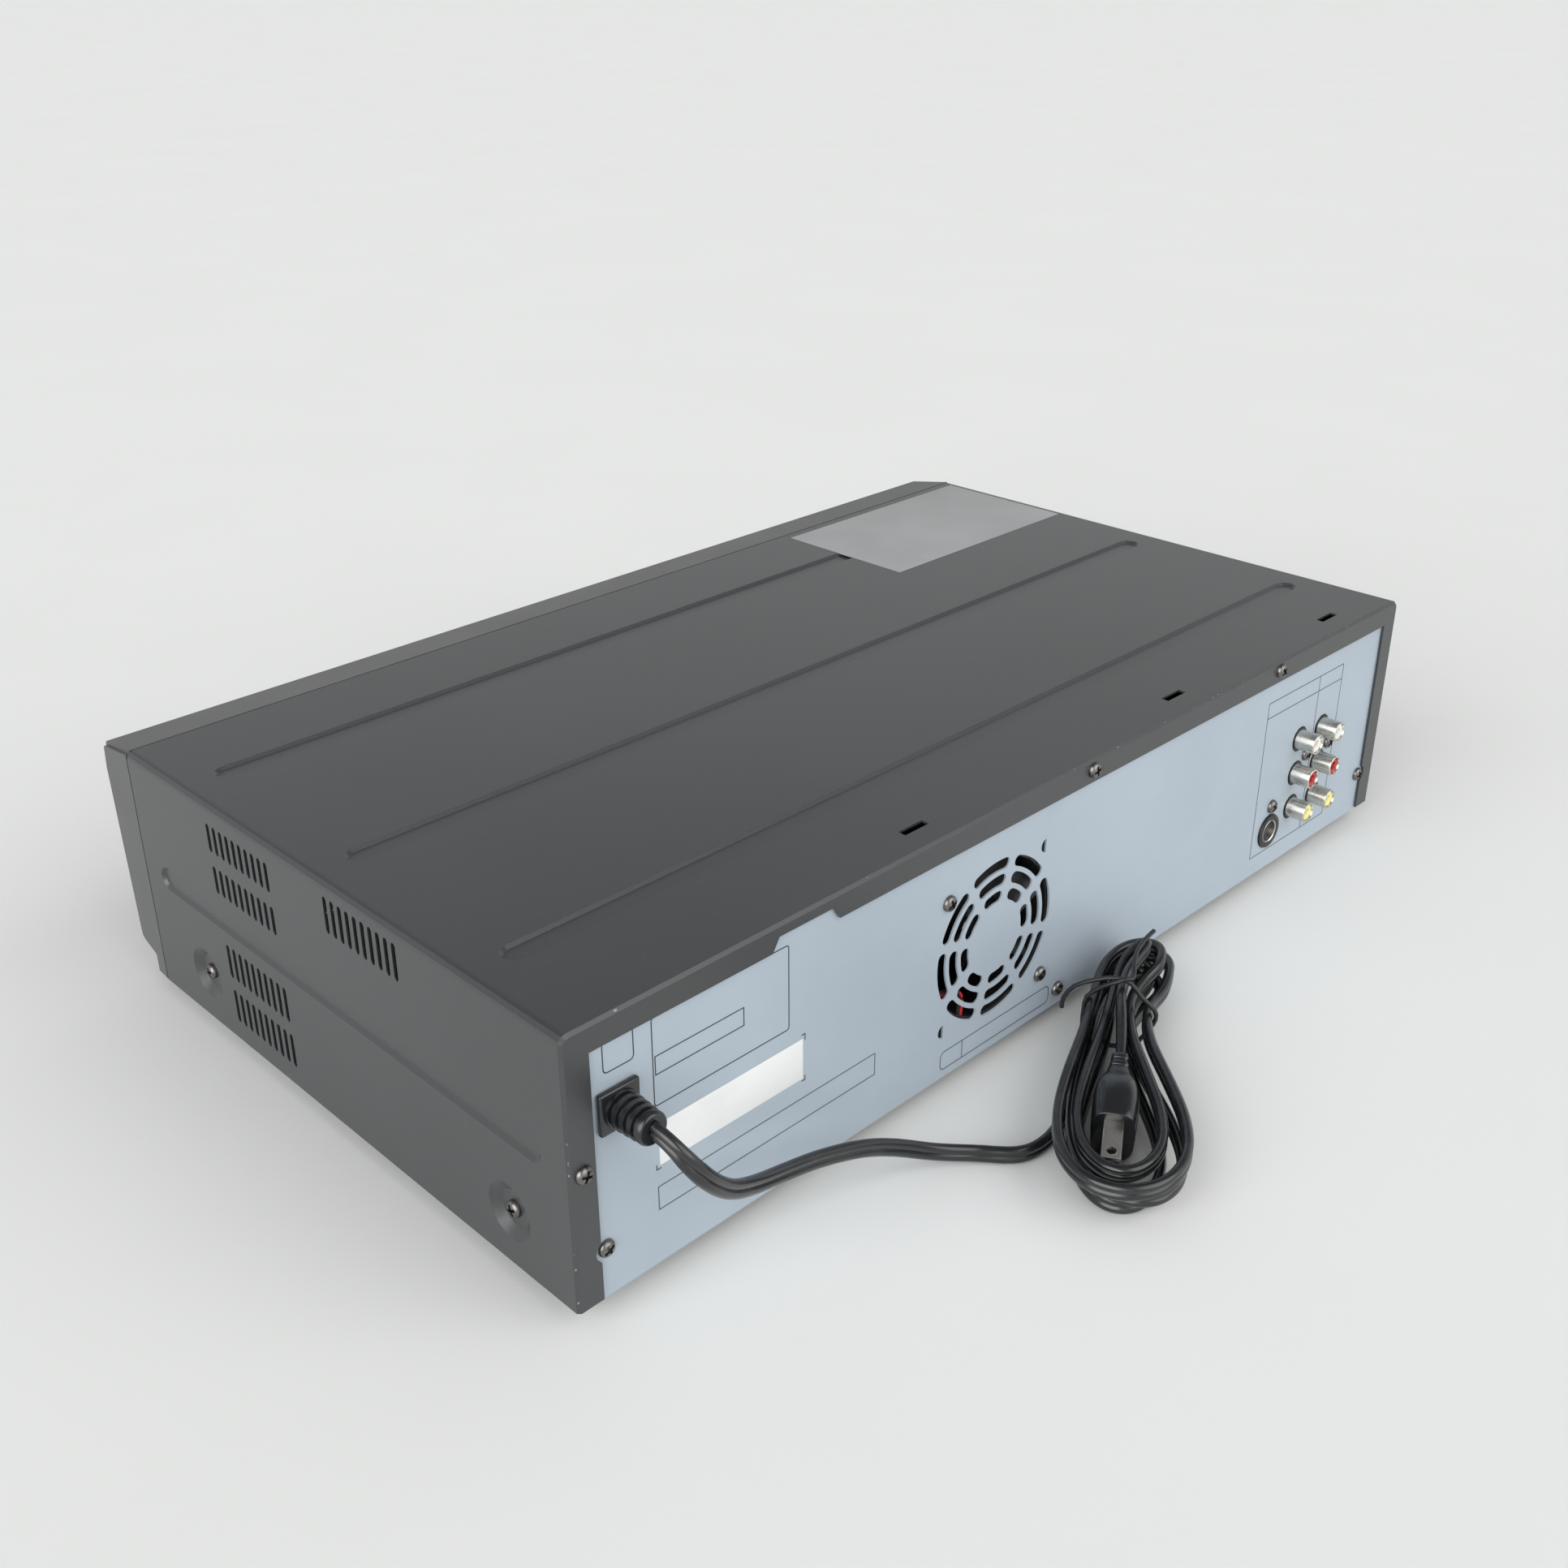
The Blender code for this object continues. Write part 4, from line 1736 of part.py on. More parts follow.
TAIL_RISE = 0.0014
TIE_RADIUS = 0.0008
TIE_ROOM = 0.0006
TIE_PITCH = 0.0024
TIE_SIDE_ROOM = 0.004
TIE_END = ((0.010, 0.012, 0.0245), (0.024, 0.009, 0.0290), (0.040, 0.002, 0.0300))
PLUG_START = 0.0290
PLUG_ACROSS = 0.0041
PLUG_BODY = 0.034
PLUG_HEIGHT = 0.0169
PLUG_STEPS = (
    (0.0, 0.0030, 0.0034),
    (0.006, 0.0034, 0.0040),
    (0.011, 0.0048, 0.0062),
    (0.017, 0.0068, 0.0095),
    (0.024, 0.0074, 0.0110),
    (PLUG_BODY, 0.0068, 0.0105),
)
PLUG_YAW = 1.6
PLUG_PITCH = 10.2
PLUG_ROUND_SHARE = 0.7
BLADE_LENGTH = 0.015
BLADE_HALF_WIDTH = 0.0031
BLADE_HALF_WALL = 0.00075
BLADE_SPACING = 0.0127


def smooth_step(share):
    share = min(max(share, 0.0), 1.0)
    return share * share * (3.0 - 2.0 * share)


def hank_axis(share):
    """Place and direction on the hank's middle line: -1 near end, 0 waist, 1 far end."""
    near, waist, far = Vector(HANK_NEAR), Vector(HANK_WAIST), Vector(HANK_FAR)
    half = (far - near) / 2
    bow = (far + near) / 2 - waist
    point = waist + share * half + share * share * bow
    return point, (half + 2.0 * share * bow).normalized()


def hank_state(turn):
    """Layer and inward offset, both in steps, after so many turns."""
    layer = 0.0
    for reversal in (*HANK_REVERSALS, TAIL_CLIMB_TURN):
        layer += smooth_step((turn - reversal + HANK_CLIMB) / (2 * HANK_CLIMB))
    offset = 0.25 + turn
    if turn > HANK_REVERSALS[0]:
        offset = 0.25 + 2 * HANK_REVERSALS[0] - turn
    if turn > HANK_REVERSALS[1]:
        offset = min(turn, TAIL_HOLD_TURN) - HANK_REVERSALS[1]
    return layer, offset


def hank_point(turn):
    """A point on the cord's middle line: 0 turns at the near end, half a turn at the far end."""
    layer, offset = hank_state(turn)
    angle = 2.0 * math.pi * turn
    near_half = (Vector(HANK_NEAR) - Vector(HANK_WAIST)).length
    far_half = (Vector(HANK_FAR) - Vector(HANK_WAIST)).length
    along = -math.cos(angle)
    near = along < 0.0
    swell = HANK_NEAR_SWELL if near else HANK_FAR_SWELL
    skews = HANK_NEAR_SKEW if near else HANK_FAR_SKEW
    low = min(int(layer), len(skews) - 1)
    high = min(low + 1, len(skews) - 1)
    skew = skews[low] + (skews[high] - skews[low]) * (layer - low)
    rise = math.sin(angle)
    inset = offset * HANK_STEP
    fade = rise / math.sqrt(rise * rise + HANK_END_BLUNTNESS * along * along)
    flare = 4.0 * along * along * (1.0 - along * along)
    across = rise * (HANK_WAIST_HALF + swell * along * along) + skew * along * along
    across -= inset * fade * (1.0 + HANK_FLARE_SHARE * flare)
    reach = along * (1.0 - inset / (near_half if near else far_half))
    point, direction = hank_axis(reach)
    side = Vector((-direction.y, direction.x))
    plan = point + side * across
    lift = HANK_LIFT * (1.0 - reach * reach) ** 4
    if not near:
        lift += HANK_FAR_LIFT * smooth_step(reach)
    return Vector((plan.x, plan.y, CORD_RADIUS + layer * HANK_LAYER + lift))


def curve_through(points, step):
    """Points along a smooth curve through the given ones, about a step apart."""
    points = [Vector(point) for point in points]
    padded = [2 * points[0] - points[1]] + points + [2 * points[-1] - points[-2]]
    result = [points[0]]
    for i in range(1, len(padded) - 2):
        a, b, c, d = padded[i - 1:i + 3]
        parts = max(1, round((c - b).length / step))
        for k in range(1, parts + 1):
            t = k / parts
            result.append(
                0.5 * (2 * b + (c - a) * t + (2 * a - 5 * b + 4 * c - d) * t * t
                       + (3 * b - a - 3 * c + d) * t * t * t)
            )
    return result


def tube(name, points, radius, resolution, paint):
    """A cord along a row of points, as a curve with filled ends."""
    curve = bpy.data.curves.new(name, "CURVE")
    curve.dimensions = "3D"
    curve.bevel_depth = radius
    curve.bevel_resolution = resolution
    curve.use_fill_caps = True
    spline = curve.splines.new("POLY")
    spline.points.add(len(points) - 1)
    for target, point in zip(spline.points, points):
        target.co = (*point, 1.0)
    curve.materials.append(paint)
    piece = bpy.data.objects.new(name, curve)
    bpy.context.scene.collection.objects.link(piece)
    return piece


def plug_frame():
    """The plug's own frame: Y from its cord to its blades, along the near lobe and a little down."""
    waist, direction = hank_axis(0.0)
    ahead = Vector((-direction.x, -direction.y, 0.0))
    across = Vector((-ahead.y, ahead.x, 0.0))
    start = Vector((waist.x, waist.y, PLUG_HEIGHT)) + ahead * PLUG_START + across * PLUG_ACROSS
    yaw, pitch = math.radians(PLUG_YAW), math.radians(PLUG_PITCH)
    level = ahead * math.cos(yaw) + across * math.sin(yaw)
    aim = level * math.cos(pitch) - Vector((0.0, 0.0, math.sin(pitch)))
    side = Vector((level.y, -level.x, 0.0))
    columns = (side, aim, side.cross(aim), start)
    rows = [[column[i] for column in columns] for i in range(3)]
    rows.append([0.0, 0.0, 0.0, 1.0])
    return Matrix(rows)


def hank_points():
    """The hank's whole middle line: its loops, then the tail through the waist to the plug."""
    count = round((HANK_END - HANK_START) * HANK_LOOP_POINTS)
    points = []
    for i in range(count + 1):
        points.append(hank_point(HANK_START + (HANK_END - HANK_START) * i / count))
    frame = plug_frame()
    straight = frame @ Vector((0.0, -2 * CORD_RADIUS, 0.0))
    last = frame @ Vector((0.0, -GAP, 0.0))
    between = (points[-1] + straight) / 2 + Vector((0.0, 0.0, TAIL_RISE))
    tail = curve_through((points[-2], points[-1], between, straight, last), 4 * CORD_RADIUS)
    return points[:-1] + tail[1:]


def least_gap(points, radius, skip):
    """The least gap of a cord to itself, measured between points that lie a run apart."""
    fine = []
    for a, b in zip(points, points[1:]):
        fine += [a.lerp(b, k / 4) for k in range(4)]
    gap = math.inf
    for i, a in enumerate(fine):
        for b in fine[i + skip * 4:]:
            gap = min(gap, (a - b).length)
    return gap - 2 * radius


def length_of(points):
    return sum((b - a).length for a, b in zip(points, points[1:]))


def make_cord():
    bushing_tip = Vector((BUSHING_X, PANEL_Y + BUSHING_REACH + GAP, COVER_BOTTOM + BUSHING_HEIGHT))
    hank = hank_points()
    heading = (hank[1] - hank[0]).normalized()
    last = hank[0] - heading * GAP
    approach = hank[0] - heading * 4 * CORD_RADIUS
    lead = curve_through([bushing_tip, *LEAD_ROUTE, approach, last], LEAD_STEP)
    tube("cord_lead", lead, CORD_RADIUS, 2, black_rubber())
    tube("cord_hank", hank, CORD_RADIUS, 1, black_rubber())
    print("cord length", length_of(lead) + length_of(hank))
    print("least gap of the hank to itself", least_gap(hank, CORD_RADIUS, HANK_LOOP_POINTS // 4))


def make_cord_tie():
    """A thin wire once round the waist, with one free end that stands up."""
    waist, direction = hank_axis(0.0)
    side = Vector((-direction.y, direction.x))
    half = HANK_WAIST_HALF + CORD_RADIUS + TIE_RADIUS + TIE_ROOM + TIE_SIDE_ROOM
    low = TIE_RADIUS + GAP
    layers = len(HANK_REVERSALS) + 1
    high = 2 * CORD_RADIUS + HANK_LIFT + layers * HANK_LAYER + TIE_RADIUS + TIE_ROOM
    corner = CORD_RADIUS + TIE_RADIUS + TIE_ROOM
    outline = rounded_box((-half, low), (half, high), corner, 3)
    outline = outline[2:] + outline[:3]
    points = []
    for i, (across, z) in enumerate(outline):
        along = TIE_PITCH * i / (len(outline) - 1)
        plan = waist + side * across + direction * along
        points.append(Vector((plan.x, plan.y, z)))
    for along, across, z in TIE_END:
        plan = waist + side * across + direction * along
        points.append(Vector((plan.x, plan.y, z)))
    points = curve_through(points, 6 * TIE_RADIUS)
    tube("cord_tie", points, TIE_RADIUS, 1, black_plastic())


def make_power_plug():
    frame = plug_frame()
    rings = []
    for along, half_x, half_z in PLUG_STEPS:
        outline = rounded_box((-half_x, -half_z), (half_x, half_z), half_x * PLUG_ROUND_SHARE, 2)
        rings.append([(a, along, b) for a, b in outline])
    body = loft(rings)
    blades = []
    for side in (-1.0, 1.0):
        z = side * BLADE_SPACING / 2
        low = (-BLADE_HALF_WIDTH, PLUG_BODY - OVERRUN, z - BLADE_HALF_WALL)
        high = (BLADE_HALF_WIDTH, PLUG_BODY + BLADE_LENGTH, z + BLADE_HALF_WALL)
        blades.append(block(low, high))
    body = moved(fuse(body, *blades), frame)
    return place("power_plug", body, black_rubber(), tuple(frame.translation))


# The whole deck

def clear_scene():
    for piece in list(bpy.data.objects):
        bpy.data.objects.remove(piece)


def main():
    clear_scene()
    make_top_cover()
    make_bottom_chassis()
    make_feet()
    make_rear_panel()
    make_jacks("input", INPUT_X, (white_plastic(), red_plastic(), yellow_plastic()))
    make_jacks("output", OUTPUT_X, (white_plastic(), red_plastic(), yellow_plastic()))
    make_s_video_socket()
    make_cord_bushing()
    make_fan_frame()
    make_fan_rotor()
    make_front_bezel()
    make_display_window()
    make_cassette_door()
    for name, x, width in BUTTON_PLACES:
        make_button(name, x, width)
    make_button_board()
    make_front_jack_block()
    make_deck_chassis()
    make_cassette_carriage()
    make_drum()
    make_reels()
    make_capstan()
    make_pinch_roller()
    make_disc_tray()
    make_tray_front()
    make_drive_frame()
    make_tray_pinion()
    make_sled_pinion()
    make_turntable()
    make_pickup_sled()
    make_power_board()
    make_main_board()
    make_cord()
    make_cord_tie()
    make_power_plug()


main()
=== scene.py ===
"""A disc and video cassette deck seen from behind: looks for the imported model.

The frame gives every rigid piece its place. The pieces made here are thin trim, screws, sockets,
the flat twin cord with its plug and tie, and the stage. Everything is in metres.
"""

import json
import math

import bpy
from mathutils import Matrix, Vector


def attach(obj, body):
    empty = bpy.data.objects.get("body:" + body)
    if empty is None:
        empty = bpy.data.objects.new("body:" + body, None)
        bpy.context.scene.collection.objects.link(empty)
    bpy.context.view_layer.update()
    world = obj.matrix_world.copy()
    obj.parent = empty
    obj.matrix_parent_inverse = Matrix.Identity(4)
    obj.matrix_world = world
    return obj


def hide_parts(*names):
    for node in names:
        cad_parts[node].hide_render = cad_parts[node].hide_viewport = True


bl_info = {
    "name": "Disc and tape deck",
    "version": (1, 0, 0),
    "blender": (4, 5, 0),
    "location": "View3D > Sidebar > Deck",
    "description": "Dresses a disc and video cassette deck with its finishes, sockets, screws and cord",
    "category": "Object",
}

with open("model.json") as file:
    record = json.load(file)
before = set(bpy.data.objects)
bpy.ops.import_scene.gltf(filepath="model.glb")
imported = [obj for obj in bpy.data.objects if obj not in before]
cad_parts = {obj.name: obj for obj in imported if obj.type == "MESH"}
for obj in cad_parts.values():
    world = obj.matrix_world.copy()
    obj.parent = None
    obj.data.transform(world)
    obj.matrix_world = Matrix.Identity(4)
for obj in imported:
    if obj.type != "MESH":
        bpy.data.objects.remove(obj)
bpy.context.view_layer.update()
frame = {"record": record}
BODY = "player"

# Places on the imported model

PANEL_Y = 0.1261
FLANGE_Y = 0.1272
TOP_Z = 0.0995
SIDE_X = 0.2175
JACK_HEIGHTS = (0.0585, 0.0435, 0.0285)
JACK_COLUMNS = (("input", -0.1520), ("output", -0.1686))
JACK_ROWS = ("left_audio", "right_audio", "video")
JACK_FINISHES = ("white_plastic", "red_plastic", "yellow_plastic")
S_VIDEO_PLACE = (-0.1360, 0.1261, 0.0235)
CORD_EXIT = (0.1995, 0.1415, 0.0692)

# The cover's rear, top and side edges, where the paint is chipped, and how far the chips reach

CHIP_REAR_Y = 0.1262
CHIP_TOP_Z = 0.0985
CHIP_SIDE_X = 0.2166
CHIP_REACH = 0.0006
CHIP_TOP_REACH = 0.0007
MERGE_DISTANCE = 0.00001

# The cord's lead and hank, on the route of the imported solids

CORD_RADIUS = 0.0025
CORD_GAP = 0.0003
LEAD_ROUTE = (
    (0.1995, 0.1465, 0.0688), (0.1980, 0.1517, 0.0645), (0.1930, 0.1537, 0.0565),
    (0.1820, 0.1512, 0.0446), (0.1687, 0.1472, 0.0362), (0.1526, 0.1442, 0.0299),
    (0.1380, 0.1432, 0.0255), (0.1220, 0.1442, 0.0205), (0.1060, 0.1464, 0.0130),
    (0.0930, 0.1500, 0.0060), (0.0810, 0.1570, 0.0028), (0.0710, 0.1680, 0.0028),
)
LEAD_STEP = 0.0115
LIFT_POINTS = 6.0
HANK_NEAR = (0.0728, 0.2144)
HANK_WAIST = (0.0017, 0.1512)
HANK_FAR = (-0.0347, 0.1512)
HANK_WAIST_HALF = 0.0107
HANK_NEAR_SWELL = 0.0393
HANK_FAR_SWELL = 0.0178
HANK_FAR_LIFT = 0.0060
HANK_END_BLUNTNESS = 0.10
HANK_FLARE_SHARE = 0.22
HANK_STEP = 0.00595
HANK_LAYER = 0.0060
HANK_LIFT = 0.0022
HANK_LOOP_POINTS = 24
HANK_REVERSALS = (1.25, 2.75)
HANK_QUARTER = 0.25
HANK_CLIMB = 0.12
HANK_START = 0.16
HANK_END = 4.75
HANK_NEAR_SKEW = (0.0053, -0.0001, 0.0058)
HANK_FAR_SKEW = (0.0, 0.0030, 0.0027)
TAIL_CLIMB_TURN = 4.40
TAIL_HOLD_TURN = 4.30
TAIL_RISE = 0.0014
ROUTE_STEP = 0.0015
EASE_PASSES = 12

# The tie round the hank's waist: across the hank, up, and along it, from a middle and a heading

TIE_RADIUS = 0.0008
TIE_MIDDLE = (0.0008, 0.1505)
TIE_HEADING = math.radians(31.576)
TIE_ROUTE = (
    (-0.0180, 0.0120, 0.0030), (-0.0175, 0.0170, 0.0015), (-0.0140, 0.0225, 0.0010),
    (-0.0070, 0.0264, 0.0006), (0.0000, 0.0282, 0.0004), (0.0046, 0.0266, 0.0003),
    (0.0086, 0.0216, 0.0002), (0.0132, 0.0174, 0.0001), (0.0139, 0.0138, 0.0000),
    (0.0122, 0.0096, -0.0001), (0.0086, 0.0036, -0.0002), (0.0055, 0.0014, -0.0003),
    (0.0000, 0.0010, -0.0003), (-0.0070, 0.0011, -0.0003), (-0.0101, 0.0024, -0.0004),
    (-0.0104, 0.0080, -0.0004), (-0.0104, 0.0140, -0.0005), (-0.0096, 0.0200, -0.0006),
    (-0.0050, 0.0246, -0.0008), (0.0000, 0.0276, -0.0014), (0.0030, 0.0289, -0.0006),
    (0.0050, 0.0280, 0.0014), (0.0052, 0.0286, 0.0050), (0.0050, 0.0294, 0.0100),
    (0.0055, 0.0298, 0.0170), (0.0075, 0.0299, 0.0240), (0.0105, 0.0300, 0.0310),
)

# The plug: its place from the hank's waist, and its rings as place along, half width and half height

PLUG_START = 0.0290
PLUG_ACROSS = 0.0041
PLUG_HEIGHT = 0.0169
PLUG_YAW = math.radians(1.6)
PLUG_PITCH = math.radians(10.2)
PLUG_RINGS = (
    (0.0, 0.0028, 0.0033), (0.0022, 0.0030, 0.0036), (0.0026, 0.0026, 0.0031), (0.0038, 0.0026, 0.0031),
    (0.0042, 0.0032, 0.0039), (0.0058, 0.0033, 0.0040), (0.0062, 0.0028, 0.0035), (0.0074, 0.0029, 0.0037),
    (0.0078, 0.0038, 0.0050), (0.0100, 0.0043, 0.0056), (0.0130, 0.0053, 0.0072), (0.0170, 0.0067, 0.0094),
    (0.0210, 0.0072, 0.0105), (0.0250, 0.0073, 0.0109), (0.0300, 0.0070, 0.0107), (0.0340, 0.0067, 0.0104),
)
PLUG_SIDES = 28
PLUG_SQUARENESS = 0.55
PLUG_ROUND = 0.0005
BLADE_LENGTH = 0.015
BLADE_HALF_WIDTH = 0.0031
BLADE_HALF_WALL = 0.00075
BLADE_SPACING = 0.0127
BLADE_ROOT = 0.001
BLADE_HOLE_RADIUS = 0.0015
BLADE_HOLE_INSET = 0.0032
BLADE_ROUND = 0.0003

# The bushing, in front of the panel, and its sleeve's ribs

BUSHING_REST = 0.0001
BUSHING_HALF_WIDTH = 0.0070
BUSHING_HALF_HEIGHT = 0.00675
BUSHING_PLATE = 0.0020
BUSHING_ROUND = 0.0007
BUSHING_BORE = 0.0018
BUSHING_NECK = 0.0059
BUSHING_RIBS = 4
BUSHING_RIB_START = 0.0034
BUSHING_RIB_PITCH = 0.0028
BUSHING_RIB_RADIUS = 0.0056
BUSHING_RIB_TAPER = 0.00018
BUSHING_GROOVE = 0.0007
BUSHING_TIP = 0.0048

# Sockets, as rows of radius and place along, from the panel outwards

JACK_SHELL = (
    (0.00335, 0.0), (0.0041, 0.0), (0.0041, 0.0004), (0.00405, 0.0006), (0.00405, 0.0078),
    (0.00395, 0.0081), (0.0038, 0.0082), (0.00345, 0.0082), (0.00335, 0.0080), (0.00335, 0.0),
)
JACK_INSERT = (
    (0.0, 0.0010), (0.0032, 0.0010), (0.0032, 0.0072), (0.0031, 0.0075), (0.0018, 0.0075),
    (0.00165, 0.0073), (0.0016, 0.0020), (0.0, 0.0020),
)
JACK_COLLAR = (
    (0.0041, -0.0006), (0.0047, -0.0006), (0.0047, 0.0002), (0.0044, 0.0003), (0.0041, 0.0003),
    (0.0041, -0.0006),
)
VIDEO_RING = (
    (0.0043, -0.0030), (0.0049, -0.0030), (0.0049, 0.0006), (0.0046, 0.0009), (0.0043, 0.0006),
    (0.0043, -0.0030),
)
VIDEO_PINS = ((-0.0021, 0.0014), (0.0021, 0.0014), (-0.0012, -0.0016), (0.0012, -0.0016))
VIDEO_KEY = ((-0.0010, -0.0020, -0.0042), (0.0010, 0.0010, -0.0031))
# Each round of the video socket: its place along, its radius and its depth
VIDEO_FACE = (0.0002, 0.0070, 0.0014)
VIDEO_WELL = (0.0020, 0.0047, 0.0060)
VIDEO_BODY = (-0.0060, 0.0077, 0.0110)
VIDEO_FLOOR = (-0.0022, 0.0046, 0.0030)
VIDEO_PIN = (-0.0006, 0.00055, 0.0030)
VIDEO_ROUND = 0.0002

# Screws: the head's radii as shares of its own, each with its place along, then places and turns

SCREW_RADIUS_SHARES = (
    (0.0, -0.0010), (0.55, -0.0010), (0.55, 0.0), (1.0, 0.0), (1.0, 0.0006), (0.90, 0.0012), (0.66, 0.0017),
    (0.34, 0.0019), (0.0, 0.0019),
)
CROSS_ARM_SHARE = 0.66
CROSS_HALF_SHARE = 0.17
CROSS_SPAN = (0.0007, 0.0030)

REAR_SCREWS = (
    (-0.0095, FLANGE_Y, 0.0955, 12.0), (-0.1277, FLANGE_Y, 0.0955, 40.0), (0.2127, FLANGE_Y, 0.0539, 70.0),
    (0.2060, PANEL_Y, 0.0240, 30.0), (-0.2060, PANEL_Y, 0.0240, 15.0), (0.0010, PANEL_Y, 0.0131, 55.0),
    (0.0628, PANEL_Y, 0.0738, 20.0), (0.0121, PANEL_Y, 0.0243, 65.0), (-0.1586, PANEL_Y, 0.0498, 10.0),
    (-0.1755, PANEL_Y, 0.0496, 35.0), (-0.1364, PANEL_Y, 0.0343, 50.0),
)
DISH_SCREWS_Y = (-0.0758, 0.0977)
DISH_SCREW_Z = 0.0263
DISH_DEPTH = 0.0022
DISH_SCREW_TURN = 0.4

# The record's finish slots, and the prints and trim

SLOTS = (
    "cover_paint", "panel_paint", "bezel_plastic", "black_plastic", "button_plastic", "smoked_plastic",
    "white_plastic", "red_plastic", "yellow_plastic", "foot_rubber", "cord_jacket", "bright_nickel",
    "zinc_steel", "turned_alloy", "board_green",
)
SLOT_OF = {"screw_steel": "zinc_steel", "red_wire": "red_plastic"}
PRINT_RISE = 0.00006
PRINT_SINK = 0.00002
# Each print: its name, its ink, its frames as low corner, high corner and radius, and its bars
PRINTS = (
    ("socket_print", "ink", (((-0.1803, 0.0147), (-0.1243, 0.0825), 0.0),), (
        ((-0.1803, 0.0757), (-0.1243, 0.0757)), ((-0.1625, 0.0147), (-0.1625, 0.0825)),
    )),
    ("fan_print", "ink", (((0.0055, 0.0095), (0.0640, 0.0168), 0.0022),), (
        ((0.0525, 0.0095), (0.0525, 0.0168)),
    )),
    ("rating_print", "dark_ink", (
        ((0.1340, 0.0610), (0.1864, 0.0903), 0.0012), ((0.1520, 0.0712), (0.1856, 0.0776), 0.0),
        ((0.1925, 0.0806), (0.2034, 0.0912), 0.0016),
    ), (
        ((0.1273, 0.0562), (0.1289, 0.0562)), ((0.1273, 0.0542), (0.1273, 0.0562)),
        ((0.1273, 0.0396), (0.1289, 0.0396)), ((0.1273, 0.0396), (0.1273, 0.0414)),
        ((0.1848, 0.0394), (0.1866, 0.0394)), ((0.1863, 0.0394), (0.1863, 0.0412)),
    )),
    ("lower_print", "ink", (((0.0960, 0.0252), (0.1864, 0.0336), 0.0),), ()),
)
STICKER = ((0.1284, 0.0406), (0.1852, 0.0549))
COVER_LABEL = ((-0.2130, -0.1068), (-0.1010, -0.0408))
STICKER_RISE = 0.0001
LABEL_RISE = 0.00009
LABEL_SINK = 0.0002
LABEL_EDGE = 0.00005
FAN_WIRE = (
    (0.0535, 0.1228, 0.0175), (0.0520, 0.1236, 0.0235), (0.0510, 0.1236, 0.0300), (0.0535, 0.1236, 0.0350),
    (0.0640, 0.1232, 0.0380),
)
GRILLE_RADII = ((0.0290, 0.0252), (0.0233, 0.0194), (0.0174, 0.0136))
GRILLE_SECTORS = 8
GRILLE_TURN = 15.0
GRILLE_SPOKE = 0.0030
GRILLE_EASE = 0.00012
SLOT_STEPS = 10
SLOT_REACH = (-0.003, 0.001)
HUB_RING = (0.0380, 0.1198, 0.0501)
HUB_RING_PROFILE = (
    (0.0096, 0.0), (0.0124, 0.0), (0.0124, 0.0010), (0.0121, 0.0013), (0.0099, 0.0013), (0.0096, 0.0010),
    (0.0096, 0.0),
)
WIRE_RADIUS = 0.0007
WIRES = (("fan_wire_red", "red_wire", 0.0), ("fan_wire_black", "black_plastic", 0.0016))

# The stage

CAMERA_PLACE = (0.4308, 0.4226, 0.3534)
CAMERA_AZIMUTH = math.radians(136.39)
CAMERA_ELEVATION = math.radians(26.12)
CAMERA_ROLL = math.radians(-0.81)
CAMERA_LENS = 39.67
CAMERA_SHIFT = (0.0216, -0.0130)
CAMERA_SENSOR = 36.0
CAMERA_REACH = (0.01, 200.0)
FLOOR_SIZE = 80.0
FLOOR_DROP = 0.0002
FLOOR_COLOUR = (0.735, 0.745, 0.735)
BACKDROP = (0.84, 0.85, 0.845)
CEILING = (0.20, 0.20, 0.205)
CEILING_SINE = (0.30, 0.62)
WORLD_LIGHT = 0.50
# Each lamp: its name, its strength, its spread in degrees, and where it shines from
SUNS = (("rear_light", 1.6, 60.0, (-0.25, 0.80, 0.55)), ("side_light", 2.7, 60.0, (0.90, 0.15, 0.36)))


# Mesh helpers

MERGE = (bpy.ops.mesh.remove_doubles, {"threshold": MERGE_DISTANCE})
TURN_OUTWARDS = (bpy.ops.mesh.normals_make_consistent, {"inside": False})
DISSOLVE = (bpy.ops.mesh.dissolve_limited, {"angle_limit": math.radians(1.0)})


def select_none():
    """Nothing stays selected, so that an operator acts on the new piece alone."""
    for piece in bpy.context.selected_objects:
        piece.select_set(False)


def pick(piece):
    select_none()
    piece.select_set(True)
    bpy.context.view_layer.objects.active = piece
    return piece


def settle(piece):
    """The piece's place goes into its mesh."""
    pick(piece)
    bpy.ops.object.transform_apply(location=True, rotation=True, scale=True)
    return piece


def modified(piece, kind, **choices):
    """The piece with a modifier's work in its mesh."""
    modifier = piece.modifiers.new("change", kind)
    for key, value in choices.items():
        setattr(modifier, key, value)
    pick(piece)
    bpy.ops.object.modifier_apply(modifier=modifier.name)
    return piece


def shade(piece, angle=35.0):
    pick(piece)
    bpy.ops.object.shade_smooth_by_angle(angle=math.radians(angle))
    return piece


def bevelled(piece, width, segments=2, angle=30.0):
    limit = math.radians(angle)
    return modified(piece, "BEVEL", width=width, segments=segments, limit_method="ANGLE", angle_limit=limit)


def weighted(piece):
    """Big flat faces keep their own normals beside small rounds."""
    return modified(piece, "WEIGHTED_NORMAL", mode="FACE_AREA", weight=80, keep_sharp=True)


def named(piece, name, paint=None):
    piece.name = name
    piece.data.name = name
    if paint is not None:
        piece.data.materials.clear()
        piece.data.materials.append(paint)
    return piece


def copied(piece):
    """A copy with its own mesh."""
    twin = piece.copy()
    twin.data = piece.data.copy()
    bpy.context.scene.collection.objects.link(twin)
    return twin


def joined(pieces):
    select_none()
    for piece in pieces:
        piece.select_set(True)
    bpy.context.view_layer.objects.active = pieces[0]
    bpy.ops.object.join()
    return bpy.context.view_layer.objects.active


